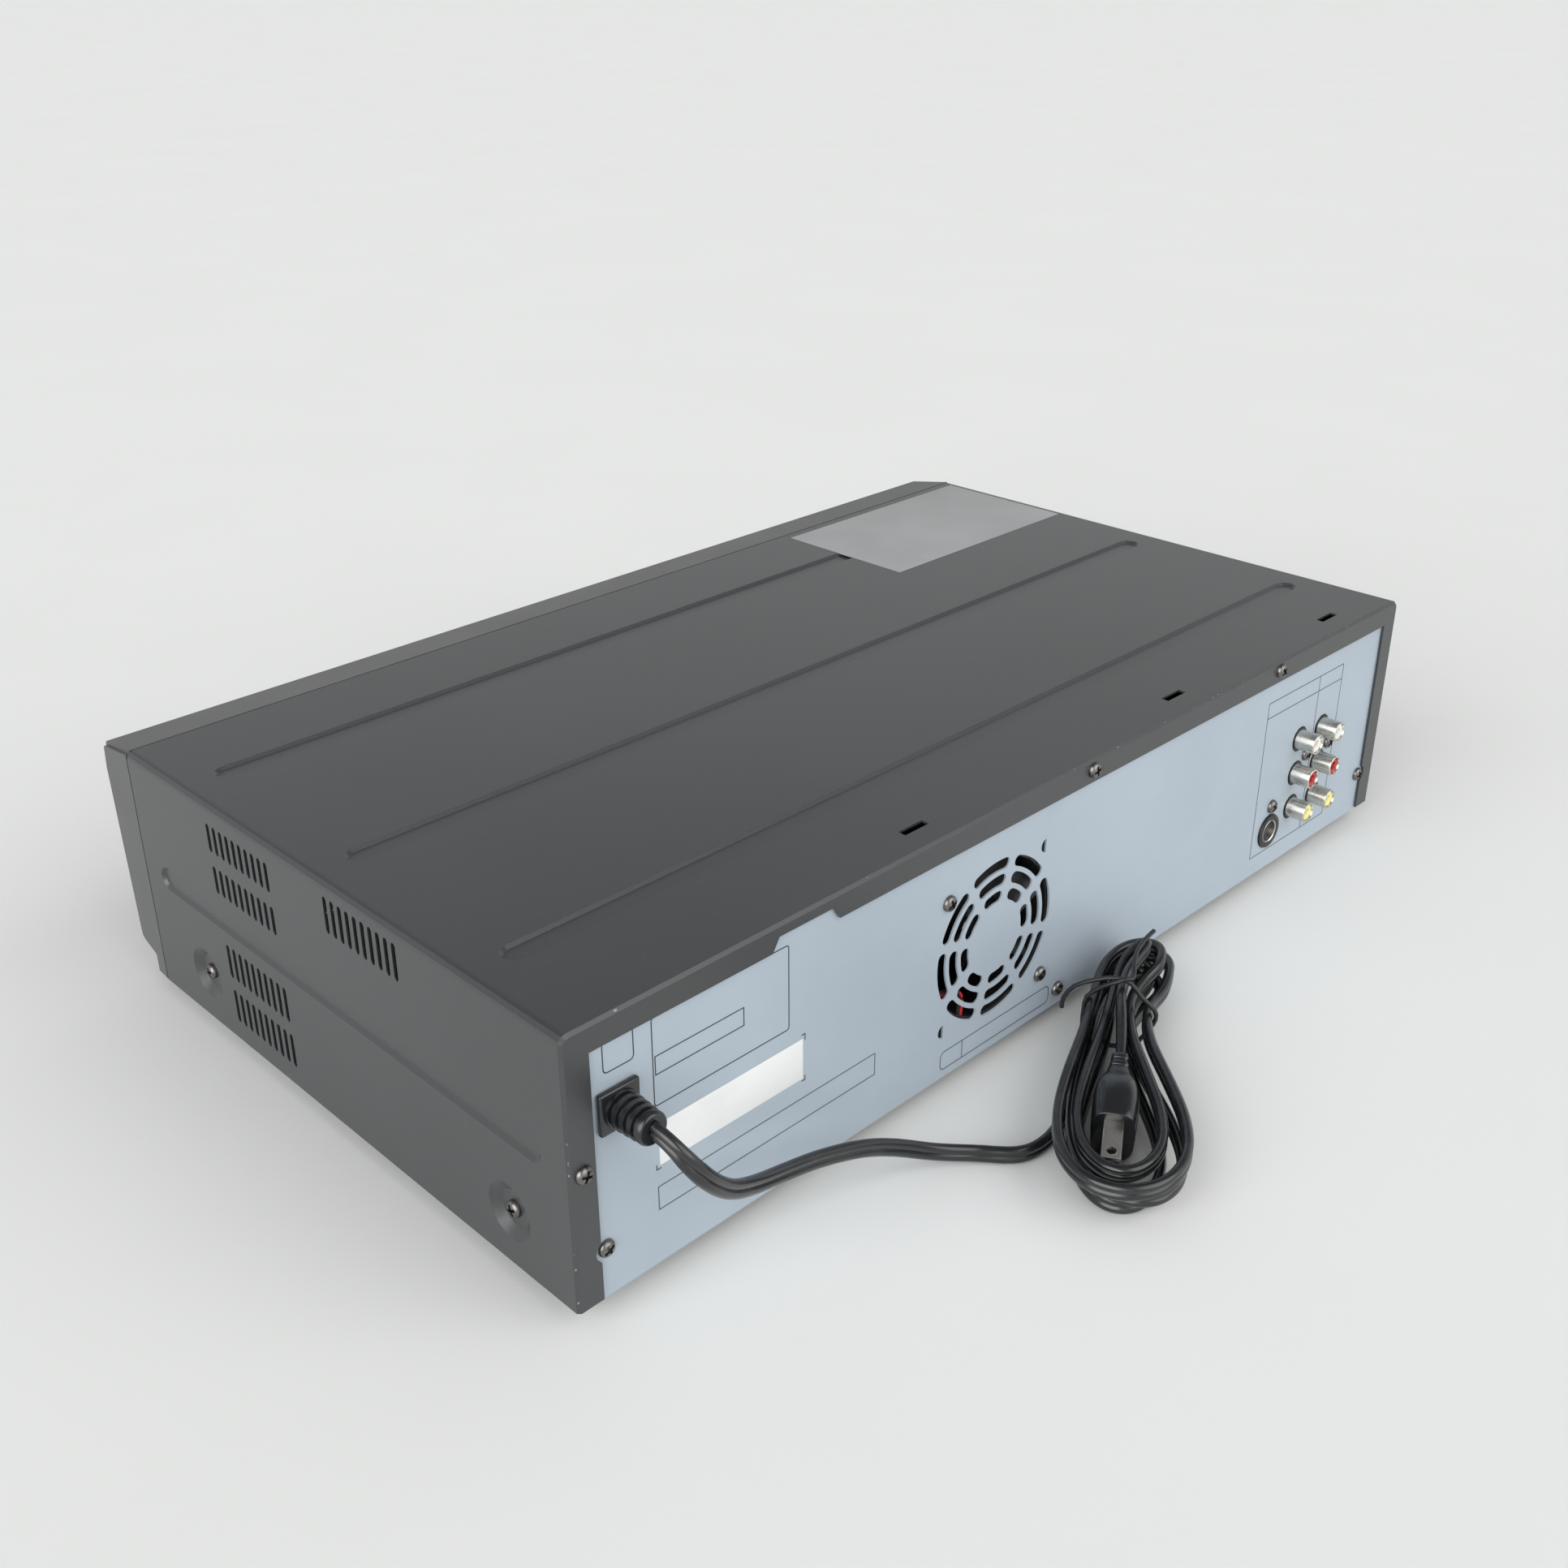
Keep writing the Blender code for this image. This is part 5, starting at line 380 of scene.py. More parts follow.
def linked(name, data):
    piece = bpy.data.objects.new(name, data)
    bpy.context.scene.collection.objects.link(piece)
    return piece


def edited(piece, *actions):
    """Runs mesh operators, each with its settings, on the whole piece."""
    pick(piece)
    bpy.ops.object.mode_set(mode="EDIT")
    for operator, choices in actions:
        bpy.ops.mesh.select_all(action="SELECT")
        operator(**choices)
    bpy.ops.object.mode_set(mode="OBJECT")
    return piece


def from_points(name, verts, edges=(), faces=()):
    mesh = bpy.data.meshes.new(name)
    mesh.from_pydata(verts, edges, faces)
    piece = linked(name, mesh)
    return edited(piece, TURN_OUTWARDS) if faces else piece


def tube(name, rings):
    """A closed tube through rings of as many points each."""
    count = len(rings[0])
    last = (len(rings) - 1) * count
    faces = [tuple(reversed(range(count))), tuple(range(last, last + count))]
    for i in range(0, last, count):
        for k in range(count):
            j = (k + 1) % count
            faces.append((i + k, i + j, i + count + j, i + count + k))
    return from_points(name, [point for ring in rings for point in ring], (), faces)


def cylinder(place, radius, depth, sides=32, axis="Y"):
    """A cylinder whose middle is at a place, along Y or along Z."""
    turn = (math.radians(90.0), 0.0, 0.0) if axis == "Y" else (0.0, 0.0, 0.0)
    select_none()
    bpy.ops.mesh.primitive_cylinder_add(
        vertices=sides, radius=radius, depth=depth, location=place, rotation=turn,
    )
    return settle(bpy.context.active_object)


def box(low, high):
    select_none()
    middle = [(a + b) / 2 for a, b in zip(low, high)]
    bpy.ops.mesh.primitive_cube_add(size=1.0, location=middle)
    piece = bpy.context.active_object
    piece.scale = [b - a for a, b in zip(low, high)]
    return settle(piece)


def minus(piece, *tools):
    """Cuts the tools out of the piece and deletes them."""
    for tool in tools:
        modified(piece, "BOOLEAN", operation="DIFFERENCE", solver="EXACT", object=tool)
        bpy.data.objects.remove(tool)
    return piece


def lathe(profile, place, steps=32):
    """Turns a row of (radius, along) points about a line along Y through a place."""
    verts = [(radius, along, 0.0) for radius, along in profile]
    turning = {"steps": steps, "angle": math.tau, "center": (0.0, 0.0, 0.0), "axis": (0.0, 1.0, 0.0)}
    piece = from_points("lathe", verts, [(i, i + 1) for i in range(len(verts) - 1)])
    edited(piece, (bpy.ops.mesh.spin, turning), MERGE, TURN_OUTWARDS)
    piece.data.transform(Matrix.Translation(place))
    return piece


def arc(middle, radius, start, end, steps):
    """Points on an arc about a middle, from one angle in degrees to another."""
    spots = []
    for k in range(steps + 1):
        angle = math.radians(start + (end - start) * k / steps)
        spots.append((middle[0] + radius * math.cos(angle), middle[1] + radius * math.sin(angle)))
    return spots


def outline_strip(name, corners, width, rise, y, paint):
    """A thin printed line round a rounded rectangle on the rear panel: corners in X and Z."""
    (low_x, low_z), (high_x, high_z), radius = corners
    rings = []
    for inset in (0.0, width):
        ring = []
        round_off = max(radius - inset, 0.0002)
        shy = inset + round_off
        middles = (
            (high_x - shy, high_z - shy), (low_x + shy, high_z - shy), (low_x + shy, low_z + shy),
            (high_x - shy, low_z + shy),
        )
        for corner, middle in enumerate(middles):
            ring += arc(middle, round_off, 90.0 * corner, 90.0 * corner + 90.0, 4)
        rings.append(ring)
    count = len(rings[0])
    verts = [(x, y + depth, z) for depth in (0.0, rise) for ring in rings for x, z in ring]
    faces = []
    for i in range(count):
        j = (i + 1) % count
        for a, b in ((0, 1), (1, 3), (3, 2), (2, 0)):
            faces.append((a * count + i, a * count + j, b * count + j, b * count + i))
    return named(from_points(name, verts, (), faces), name, paint)


# Shader helpers

class Socket:
    """A node's output, which Python's operators turn into Math nodes."""

    def __init__(self, shader, link):
        self.shader = shader
        self.link = link

    def maths(self, operation, other=0.0):
        return self.shader.node("ShaderNodeMath", {"operation": operation}, (self, other))

    def __add__(self, other):
        return self.maths("ADD", other)

    def __sub__(self, other):
        return self.maths("SUBTRACT", other)

    def __mul__(self, other):
        return self.maths("MULTIPLY", other)

    def above(self, level):
        return self.maths("GREATER_THAN", level)

    def size(self):
        return self.maths("ABSOLUTE")

    def ramp(self, low, high):
        """0 below low, 1 above high, smooth between."""
        inputs = {"Value": self, "From Min": low, "From Max": high}
        return self.shader.node("ShaderNodeMapRange", {"interpolation_type": "SMOOTHSTEP"}, inputs)


class Nodes:
    """A tree of shader nodes."""

    def __init__(self, owner):
        owner.use_nodes = True
        self.tree = owner.node_tree

    def node(self, kind, settings=None, inputs=(), output=0):
        node = self.tree.nodes.new(kind)
        for key, value in (settings or {}).items():
            setattr(node, key, value)
        pairs = inputs.items() if isinstance(inputs, dict) else enumerate(inputs)
        for key, value in pairs:
            self.feed(node.inputs[key], value)
        return Socket(self, node.outputs[output])

    def feed(self, socket, value):
        if isinstance(value, Socket):
            self.tree.links.new(value.link, socket)
        else:
            socket.default_value = value

    def place(self):
        return self.node("ShaderNodeTexCoord", output="Object")

    def axes(self):
        place = self.place()
        split = self.node("ShaderNodeSeparateXYZ", inputs=(place,))
        outputs = split.link.node.outputs
        return [Socket(self, outputs[i]) for i in range(3)]

    def noise(self, scale, detail=3.0, roughness=0.55, stretch=None):
        place = self.place()
        if stretch is not None:
            place = self.node("ShaderNodeMapping", inputs={"Vector": place, "Scale": stretch})
        inputs = {"Vector": place, "Scale": scale, "Detail": detail, "Roughness": roughness}
        return self.node("ShaderNodeTexNoise", inputs=inputs)

    def mix(self, share, first, second):
        """A colour between two, by a share."""
        mix = self.tree.nodes.new("ShaderNodeMix")
        mix.data_type = "RGBA"
        self.feed(mix.inputs[0], share)
        for socket, value in ((mix.inputs[6], first), (mix.inputs[7], second)):
            self.feed(socket, value if isinstance(value, Socket) else (*value, 1.0))
        return Socket(self, mix.outputs[2])


class Shader(Nodes):
    """One material: a Principled shader and the nodes that feed it."""

    def __init__(self, name):
        self.material = bpy.data.materials.new(name)
        super().__init__(self.material)
        self.surface = self.tree.nodes["Principled BSDF"]

    def bump(self, height, strength, distance):
        inputs = {"Strength": strength, "Distance": distance, "Height": height}
        normal = self.node("ShaderNodeBump", inputs=inputs)
        self.feed(self.surface.inputs["Normal"], normal)

    def set(self, **values):
        for key, value in values.items():
            socket = self.surface.inputs[key.replace("_", " ")]
            if isinstance(value, tuple) and len(value) == 3:
                value = (*value, 1.0)
            self.feed(socket, value)
        return self


def shifted(colour, factor):
    return tuple(min(channel * factor, 1.0) for channel in colour)


# Finishes

def cover_paint(colour):
    """Satin charcoal paint with a fine pebbled texture, faint rubs, and chips along the rear edges."""
    shader = Shader("cover_paint")
    x, y, z = shader.axes()
    grain = shader.noise(1900.0, 2.0)
    cloud = shader.noise(9.0, 3.0)
    dust = shader.noise(420.0, 2.0).ramp(0.66, 0.78)
    chips = shader.noise(330.0, 3.0).above(0.655)
    rear = (y - CHIP_REAR_Y).ramp(0.0, CHIP_REACH)
    top = (z - CHIP_TOP_Z).ramp(0.0, CHIP_TOP_REACH)
    side = (x.size() - CHIP_SIDE_X).ramp(0.0, CHIP_REACH)
    edge = (rear * top + rear * side + top * side).ramp(0.2, 0.8) * chips
    base = shader.mix(cloud.ramp(0.3, 0.7), shifted(colour, 0.94), shifted(colour, 1.06))
    base = shader.mix(grain.ramp(0.50, 0.72) * 0.5, base, shifted(colour, 1.35))
    base = shader.mix(dust * 0.35, base, shifted(colour, 1.9))
    base = shader.mix(edge * 0.55, base, (0.42, 0.43, 0.43))
    shader.set(Base_Color=base, Roughness=grain * 0.14 + 0.28, Metallic=0.0, Specular_IOR_Level=0.75)
    shader.bump(grain, 0.45, 0.00007)
    return shader.material


def panel_paint(colour):
    """Smooth silver-blue paint, a little clouded, with fine rub marks."""
    shader = Shader("panel_paint")
    cloud = shader.noise(14.0, 4.0)
    fine = shader.noise(1500.0, 2.0)
    rubs = shader.noise(60.0, 5.0, 0.7, (1.0, 1.0, 9.0)).ramp(0.62, 0.75)
    base = shader.mix(cloud.ramp(0.3, 0.7), shifted(colour, 0.97), shifted(colour, 1.04))
    base = shader.mix(rubs * 0.12, base, shifted(colour, 1.25))
    shader.set(Base_Color=base, Roughness=fine * 0.10 + 0.36 + rubs * 0.08, Metallic=0.10)
    shader.bump(fine, 0.12, 0.00003)
    return shader.material


def moulded(name, colour, roughness=0.45, grain_scale=1800.0, grain=0.2, clear=0.0):
    """Moulded plastic with its fine grain and slight shade changes."""
    shader = Shader(name)
    fine = shader.noise(grain_scale, 2.0)
    cloud = shader.noise(25.0, 3.0)
    base = shader.mix(cloud.ramp(0.3, 0.7), shifted(colour, 0.92), shifted(colour, 1.08))
    shader.set(Base_Color=base, Roughness=fine * 0.12 + (roughness - 0.06), Coat_Weight=clear)
    shader.bump(fine, grain, 0.00004)
    return shader.material


def cord_jacket(colour):
    """Black PVC with a slight sheen, dusty in places."""
    shader = Shader("cord_jacket")
    dust = shader.noise(90.0, 4.0, 0.65)
    fine = shader.noise(900.0, 3.0)
    base = shader.mix(dust.ramp(0.45, 0.75), colour, shifted(colour, 2.4))
    shader.set(Base_Color=base, Roughness=dust * 0.16 + 0.18, Specular_IOR_Level=0.7)
    shader.bump(fine, 0.15, 0.00005)
    return shader.material


def plated(name, colour, roughness, stretch=(1.0, 1.0, 1.0)):
    """Plated or turned metal with fine tool marks and tarnish."""
    shader = Shader(name)
    lines = shader.noise(900.0, 2.0, 0.5, stretch)
    cloud = shader.noise(90.0, 3.0)
    base = shader.mix(cloud.ramp(0.35, 0.7), shifted(colour, 0.88), shifted(colour, 1.05))
    shader.set(Base_Color=base, Roughness=lines * 0.10 + cloud * 0.08 + (roughness - 0.08), Metallic=1.0)
    shader.bump(lines, 0.02, 0.00002)
    return shader.material


def board_green():
    """Green lacquered board with paler tracks."""
    shader = Shader("board_green")
    tracks = shader.noise(210.0, 1.0, 0.4, (1.0, 5.0, 1.0)).ramp(0.5, 0.56)
    base = shader.mix(tracks, (0.012, 0.085, 0.035), (0.03, 0.17, 0.07))
    shader.set(Base_Color=base, Roughness=tracks * 0.15 + 0.3)
    shader.bump(tracks, 0.2, 0.00005)
    return shader.material


def label_paper(name, colour):
    """A plain label, slightly worn, with nothing printed on it."""
    shader = Shader(name)
    cloud = shader.noise(30.0, 4.0)
    fine = shader.noise(1200.0, 2.0)
    base = shader.mix(cloud.ramp(0.35, 0.65), shifted(colour, 0.95), shifted(colour, 1.04))
    shader.set(Base_Color=base, Roughness=fine * 0.1 + 0.42)
    shader.bump(cloud, 0.05, 0.0001)
    return shader.material


def floor_paint(colour):
    """A pale, faintly clouded floor that keeps its shadows."""
    shader = Shader("stage_floor")
    cloud = shader.noise(6.0, 4.0)
    base = shader.mix(cloud.ramp(0.3, 0.7), shifted(colour, 0.985), shifted(colour, 1.0))
    shader.set(Base_Color=base, Roughness=0.75, Specular_IOR_Level=0.2)
    return shader.material


# Moulded finishes: colour, roughness, grain scale, grain and clear coat, as far as they differ
MOULDED = {
    "black_plastic": ((0.012, 0.012, 0.013), 0.42),
    "button_plastic": ((0.15, 0.15, 0.16), 0.4, 1500.0, 0.1),
    "smoked_plastic": ((0.006, 0.006, 0.007), 0.14, 900.0, 0.03, 0.6),
    "white_plastic": ((0.78, 0.77, 0.72), 0.38, 900.0, 0.1),
    "red_plastic": ((0.42, 0.018, 0.020), 0.35, 900.0, 0.1),
    "yellow_plastic": ((0.82, 0.77, 0.32), 0.35, 900.0, 0.1),
    "foot_rubber": ((0.018, 0.018, 0.018), 0.8, 700.0, 0.5),
    "ink": ((0.07, 0.09, 0.11), 0.5),
    "dark_ink": ((0.030, 0.036, 0.045), 0.5),
    "red_wire": ((0.50, 0.02, 0.03), 0.35),
}
# Metals: colour, roughness and how the tool marks are stretched
PLATED = {
    "bright_nickel": ((0.66, 0.645, 0.60), 0.26),
    "screw_steel": ((0.21, 0.20, 0.19), 0.30),
    "zinc_steel": ((0.52, 0.53, 0.53), 0.38, (1.0, 12.0, 1.0)),
    "turned_alloy": ((0.62, 0.62, 0.63), 0.25),
}
PAINTS = {}


def make_paints(settings):
    """All finishes of the deck, by the record's slot names and a few more."""
    PAINTS.update({name: moulded(name, *values) for name, values in MOULDED.items()})
    PAINTS.update({name: plated(name, *values) for name, values in PLATED.items()})
    PAINTS.update(
        cover_paint=cover_paint(tuple(settings.cover_colour)),
        panel_paint=panel_paint(tuple(settings.panel_colour)),
        bezel_plastic=moulded("bezel_plastic", tuple(settings.bezel_colour), 0.5, 2200.0, 0.35),
        cord_jacket=cord_jacket((0.007, 0.0075, 0.0085)),
        board_green=board_green(),
        label_film=label_paper("label_film", tuple(settings.label_colour)),
        sticker_paper=label_paper("sticker_paper", (0.74, 0.75, 0.75)),
    )


# Pieces

def colour(name, description, default):
    return bpy.props.FloatVectorProperty(
        name=name, description=description, subtype="COLOR", size=3, min=0.0, max=1.0, default=default,
    )


def size(name, description, default):
    return bpy.props.FloatProperty(name=name, description=description, unit="LENGTH", default=default)


class DeckSettings(bpy.types.PropertyGroup):
    """Sizes and colours that a user may change."""

    cover_colour: colour("Cover colour", "Paint of the folded cover", (0.034, 0.0365, 0.0385))
    panel_colour: colour("Panel colour", "Paint of the rear panel", (0.385, 0.447, 0.508))
    bezel_colour: colour("Front colour", "Plastic of the front moulding", (0.085, 0.086, 0.087))
    label_colour: colour("Label colour", "The plain label on the cover", (0.30, 0.305, 0.31))
    cord_width: size("Cord width", "Width of the flat twin cord", 0.0059)
    cord_thickness: size("Cord thickness", "Thickness of the flat twin cord", 0.0034)
    screw_radius: size("Screw head radius", "Radius of the cross-head screws", 0.0028)
    print_line: size("Printed line", "Width of the printed lines", 0.00038)
    edge_round: size("Edge round", "Round on the edges of moulded pieces", 0.0003)


def settings():
    return bpy.context.scene.deck_settings


# Nodes that stay as the frame has them, and get a finish
KEPT_FINISH = {
    "zinc_steel": ("bottom_chassis", "deck_chassis", "cassette_carriage", "drive_frame", "pickup_sled"),
    "black_plastic": (
        "input_jack_block", "output_jack_block", "front_jack_block", "fan_frame", "turntable", "disc_tray",
    ),
    "board_green": ("button_board", "power_board", "main_board"),
    "turned_alloy": ("drum_base", "head_drum", "capstan"),
    "foot_rubber": ("pinch_roller",),
    "white_plastic": ("supply_reel", "takeup_reel", "tray_pinion", "sled_pinion"),
}
# Nodes that a copy with rounded edges stands for: finish and round
ROUNDED_FINISH = {
    "top_cover": ("cover_paint", 0.00022), "rear_panel": ("panel_paint", 0.00012),
    "front_bezel": ("bezel_plastic", 0.0003), "display_window": ("smoked_plastic", 0.0002),
    "cassette_door": ("bezel_plastic", 0.0003), "tray_front": ("bezel_plastic", 0.0003),
    "fan_rotor": ("black_plastic", 0.0001), "foot_front_left": ("foot_rubber", 0.0005),
    "foot_front_right": ("foot_rubber", 0.0005), "foot_rear_left": ("foot_rubber", 0.0005),
    "foot_rear_right": ("foot_rubber", 0.0005),
}
BUTTONS = (
    "power_button", "tape_eject_button", "rewind_button", "play_button", "fast_forward_button",
    "stop_button", "record_button", "source_button", "disc_eject_button",
)


def body_name(node):
    for body, nodes in frame["record"]["behaviour"]["bodies"].items():
        if node in nodes:
            return body
    raise RuntimeError(f"{node} is in no body")


def slot_outline(middle, half, start, end):
    """A curved slot with round ends, as (across, up) points about the fan's centre."""
    centre = (0.0, 0.0)
    first, last = (arc(centre, middle, angle, angle, 1)[0] for angle in (start, end))
    return [
        *arc(centre, middle + half, start, end, SLOT_STEPS),
        *arc(last, half, end, end + 180.0, SLOT_STEPS)[1:-1],
        *arc(centre, middle - half, end, start, SLOT_STEPS),
        *arc(first, half, start + 180.0, start + 360.0, SLOT_STEPS)[1:-1],
    ]


def grille_slots():
    """Cutters that give the fan grille's slots their round ends."""
    x, _, z = HUB_RING
    pitch = 360.0 / GRILLE_SECTORS
    cutters = []
    for outer, inner in GRILLE_RADII:
        middle, half = (outer + inner) / 2, (outer - inner) / 2 + GRILLE_EASE
        shy = math.degrees(math.asin((GRILLE_SPOKE / 2 + half) / middle))
        for sector in range(GRILLE_SECTORS):
            spoke = GRILLE_TURN + sector * pitch
            outline = slot_outline(middle, half, spoke + shy, spoke + pitch - shy)
            rings = [[(x + a, PANEL_Y + y, z + b) for a, b in outline] for y in SLOT_REACH]
            cutters.append(tube("grille_slots", rings))
    return joined(cutters)


def rounded_twin(node, finish, width, *cutters):
    """A merged copy of a node with small rounds on its edges, which stands for it."""
    piece = copied(bpy.data.objects[node])
    for key in list(piece.keys()):
        if key.startswith("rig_"):
            del piece[key]
    piece.parent = None
    piece.hide_render = False
    edited(piece, MERGE, DISSOLVE)
    minus(piece, *cutters)
    bevelled(piece, width, 2)
    named(piece, f"{node}_skin", PAINTS[finish])
    weighted(shade(piece, 40.0))
    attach(piece, body_name(node))
    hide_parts(node)
    return piece


class DECK_OT_dress_nodes(bpy.types.Operator):
    """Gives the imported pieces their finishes, and rounds the edges of those that show"""

    bl_idname = "deck.dress_nodes"
    bl_label = "Dress the packed pieces"

    def execute(self, context):
        for finish, nodes in KEPT_FINISH.items():
            for node in nodes:
                for slot in bpy.data.objects[node].material_slots:
                    slot.material = PAINTS[finish]
        for node, (finish, width) in ROUNDED_FINISH.items():
            cutters = (grille_slots(),) if node == "rear_panel" else ()
            rounded_twin(node, finish, width, *cutters)
        for node in BUTTONS:
            rounded_twin(node, "button_plastic", settings().edge_round)
        return {"FINISHED"}


def smooth_route(points, parts=3, step=None):
    """A smooth curve through the given points, with so many parts, or parts of about a step, between two."""
    points = [Vector(point) for point in points]
    padded = [2 * points[0] - points[1], *points, 2 * points[-1] - points[-2]]
    result = [points[0]]
    for i in range(1, len(padded) - 2):
        a, b, c, d = padded[i - 1:i + 3]
        if step is not None:
            parts = max(1, round((c - b).length / step))
        for k in range(1, parts + 1):
            t = k / parts
            result.append(0.5 * (2 * b + (c - a) * t + (2 * a - 5 * b + 4 * c - d) * t * t
                                 + (3 * b - a - 3 * c + d) * t * t * t))
    return result


def evened(route, step):
    """The same line with its points a step apart."""
    result = [route[0]]
    left = step
    for a, b in zip(route, route[1:]):
        span = (b - a).length
        along = left
        while along < span:
            result.append(a.lerp(b, along / span))
            along += step
        left = along - span
    if (route[-1] - result[-1]).length < step / 2:
        result.pop()
    result.append(route[-1])
    return result


def eased(route, passes):
    """The same line with its small kinks eased out, its ends kept."""
    for _ in range(passes):
        middle = [(a + 2 * b + c) / 4 for a, b, c in zip(route, route[1:], route[2:])]
        route = [route[0], *middle, route[-1]]
    return route


def twin_section(width, thickness, steps=9):
    """The cord's section: two round conductors side by side, one over the other."""
    radius = thickness / 2
    upper = arc((0.0, width / 2 - radius), radius, -60.0, 240.0, steps - 1)
    return upper + [(-across, -up) for across, up in upper]


def swept(name, route, section, paint):
    """A closed tube: a section carried along a route, its second axis kept upright."""
    rings = []
    up_before = Vector((0.0, 0.0, 1.0))
    for i, point in enumerate(route):
        ahead = (route[min(i + 1, len(route) - 1)] - route[max(i - 1, 0)]).normalized()
        up = Vector((0.0, 0.0, 1.0))
        up = up - ahead * up.dot(ahead)
        up = (up.normalized() if up.length > 0.2 else up_before - ahead * up_before.dot(ahead)).normalized()
        up_before = up
        side = ahead.cross(up)
        rings.append([point + side * a + up * b for a, b in section])
    return shade(named(tube(name, rings), name, paint), 60.0)


def route_length(route):
    return sum((b - a).length for a, b in zip(route, route[1:]))


def smooth_step(share):
    share = min(max(share, 0.0), 1.0)
    return share * share * (3.0 - 2.0 * share)


def hank_axis(share):
    """Place and direction on the hank's middle line: -1 near end, 0 waist, 1 far end."""
    near, waist, far = Vector(HANK_NEAR), Vector(HANK_WAIST), Vector(HANK_FAR)
    half = (far - near) / 2
    bow = (far + near) / 2 - waist
    return waist + share * half + share * share * bow, (half + 2.0 * share * bow).normalized()


def hank_state(turn):
    """Layer and inward offset, both in steps, after so many turns."""
    layer = 0.0
    for reversal in (*HANK_REVERSALS, TAIL_CLIMB_TURN):
        layer += smooth_step((turn - reversal + HANK_CLIMB) / (2 * HANK_CLIMB))
    offset = HANK_QUARTER + turn
    if turn > HANK_REVERSALS[0]:
        offset = HANK_QUARTER + 2 * HANK_REVERSALS[0] - turn
    if turn > HANK_REVERSALS[1]:
        offset = min(turn, TAIL_HOLD_TURN) - HANK_REVERSALS[1]
    return layer, offset


def hank_point(turn):
    """A point on the cord's middle line: 0 turns at the near end, half a turn at the far end."""
    layer, offset = hank_state(turn)
    rise, along = math.sin(math.tau * turn), -math.cos(math.tau * turn)
    near = along < 0.0
    end = Vector(HANK_NEAR if near else HANK_FAR)
    swell = HANK_NEAR_SWELL if near else HANK_FAR_SWELL
    skews = HANK_NEAR_SKEW if near else HANK_FAR_SKEW
    low = min(int(layer), len(skews) - 1)
    high = min(low + 1, len(skews) - 1)
    skew = skews[low] + (skews[high] - skews[low]) * (layer - low)
    inset = offset * HANK_STEP
    fade = rise / math.sqrt(rise * rise + HANK_END_BLUNTNESS * along * along)
    flare = 4.0 * along * along * (1.0 - along * along)
    across = rise * (HANK_WAIST_HALF + swell * along * along) + skew * along * along
    across -= inset * fade * (1.0 + HANK_FLARE_SHARE * flare)
    reach = along * (1.0 - inset / (end - Vector(HANK_WAIST)).length)
    point, direction = hank_axis(reach)
    plan = point + Vector((-direction.y, direction.x)) * across
    lift = HANK_LIFT * (1.0 - reach * reach) ** 4
    if not near:
        lift += HANK_FAR_LIFT * smooth_step(reach)
    return Vector((plan.x, plan.y, CORD_RADIUS + layer * HANK_LAYER + lift))


def plug_matrix():
    """The plug's own frame: Y from its cord to its blades, along the near lobe and a little down."""
    waist, direction = hank_axis(0.0)
    ahead = Vector((-direction.x, -direction.y, 0.0))
    across = Vector((-ahead.y, ahead.x, 0.0))
    start = Vector((waist.x, waist.y, PLUG_HEIGHT)) + ahead * PLUG_START + across * PLUG_ACROSS
    level = ahead * math.cos(PLUG_YAW) + across * math.sin(PLUG_YAW)
    aim = level * math.cos(PLUG_PITCH) - Vector((0.0, 0.0, math.sin(PLUG_PITCH)))
    side = Vector((level.y, -level.x, 0.0))
    turn = Matrix((side, aim, side.cross(aim))).transposed()
    return Matrix.Translation(start) @ turn.to_4x4()


def hank_points():
    """The hank's whole middle line: its loops, then the tail through the waist to the plug."""
    count = round((HANK_END - HANK_START) * HANK_LOOP_POINTS)
    points = [hank_point(HANK_START + (HANK_END - HANK_START) * i / count) for i in range(count + 1)]
    straight, last = (plug_matrix() @ Vector((0.0, -back, 0.0)) for back in (2 * CORD_RADIUS, CORD_GAP))
    between = (points[-1] + straight) / 2 + Vector((0.0, 0.0, TAIL_RISE))
    tail = smooth_route((points[-2], points[-1], between, straight, last), step=4 * CORD_RADIUS)
    return points[:-1] + tail[1:]


def tenths(points):
    """The points, each set to the nearest tenth of a millimetre."""
    return [Vector([round(value, 4) for value in point]) for point in points]


def cord_route():
    """The lead and the hank as one line, lifted so that the flat cord rests on the floor."""
    hank = hank_points()
    approach = hank[0] - (hank[1] - hank[0]).normalized() * 4 * CORD_RADIUS
    points = tenths([*smooth_route((CORD_EXIT, *LEAD_ROUTE, approach), step=LEAD_STEP), *hank])
    rise = settings().cord_width / 2 - min(point.z for point in points)
    lifted = [point + Vector((0.0, 0.0, rise * min(i / LIFT_POINTS, 1.0))) for i, point in enumerate(points)]
    lifted[-1] = points[-1]
    return eased(evened(smooth_route(lifted), ROUTE_STEP), EASE_PASSES)


class DECK_OT_add_cord(bpy.types.Operator):
    """Adds the flat twin cord: the lead down from its bushing and the hank, as one piece"""

    bl_idname = "deck.add_cord"
    bl_label = "Add the cord"

    def execute(self, context):
        width, thickness = settings().cord_width, settings().cord_thickness
        route = cord_route()
        piece = swept("mains_cord", route, twin_section(width, thickness), PAINTS["cord_jacket"])
        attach(piece, BODY)
        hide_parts("cord_lead", "cord_hank")
        round(route_length(route), 3)
        return {"FINISHED"}


def keep(piece, name, finish, *nodes):
    """Names and paints a piece, lets it ride on the deck, and hides the nodes it stands for."""
    named(piece, name, PAINTS[finish])
    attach(piece, BODY)
    if nodes:
        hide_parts(*nodes)
    slot = SLOT_OF.get(finish, finish)
    slot in SLOTS
    return piece


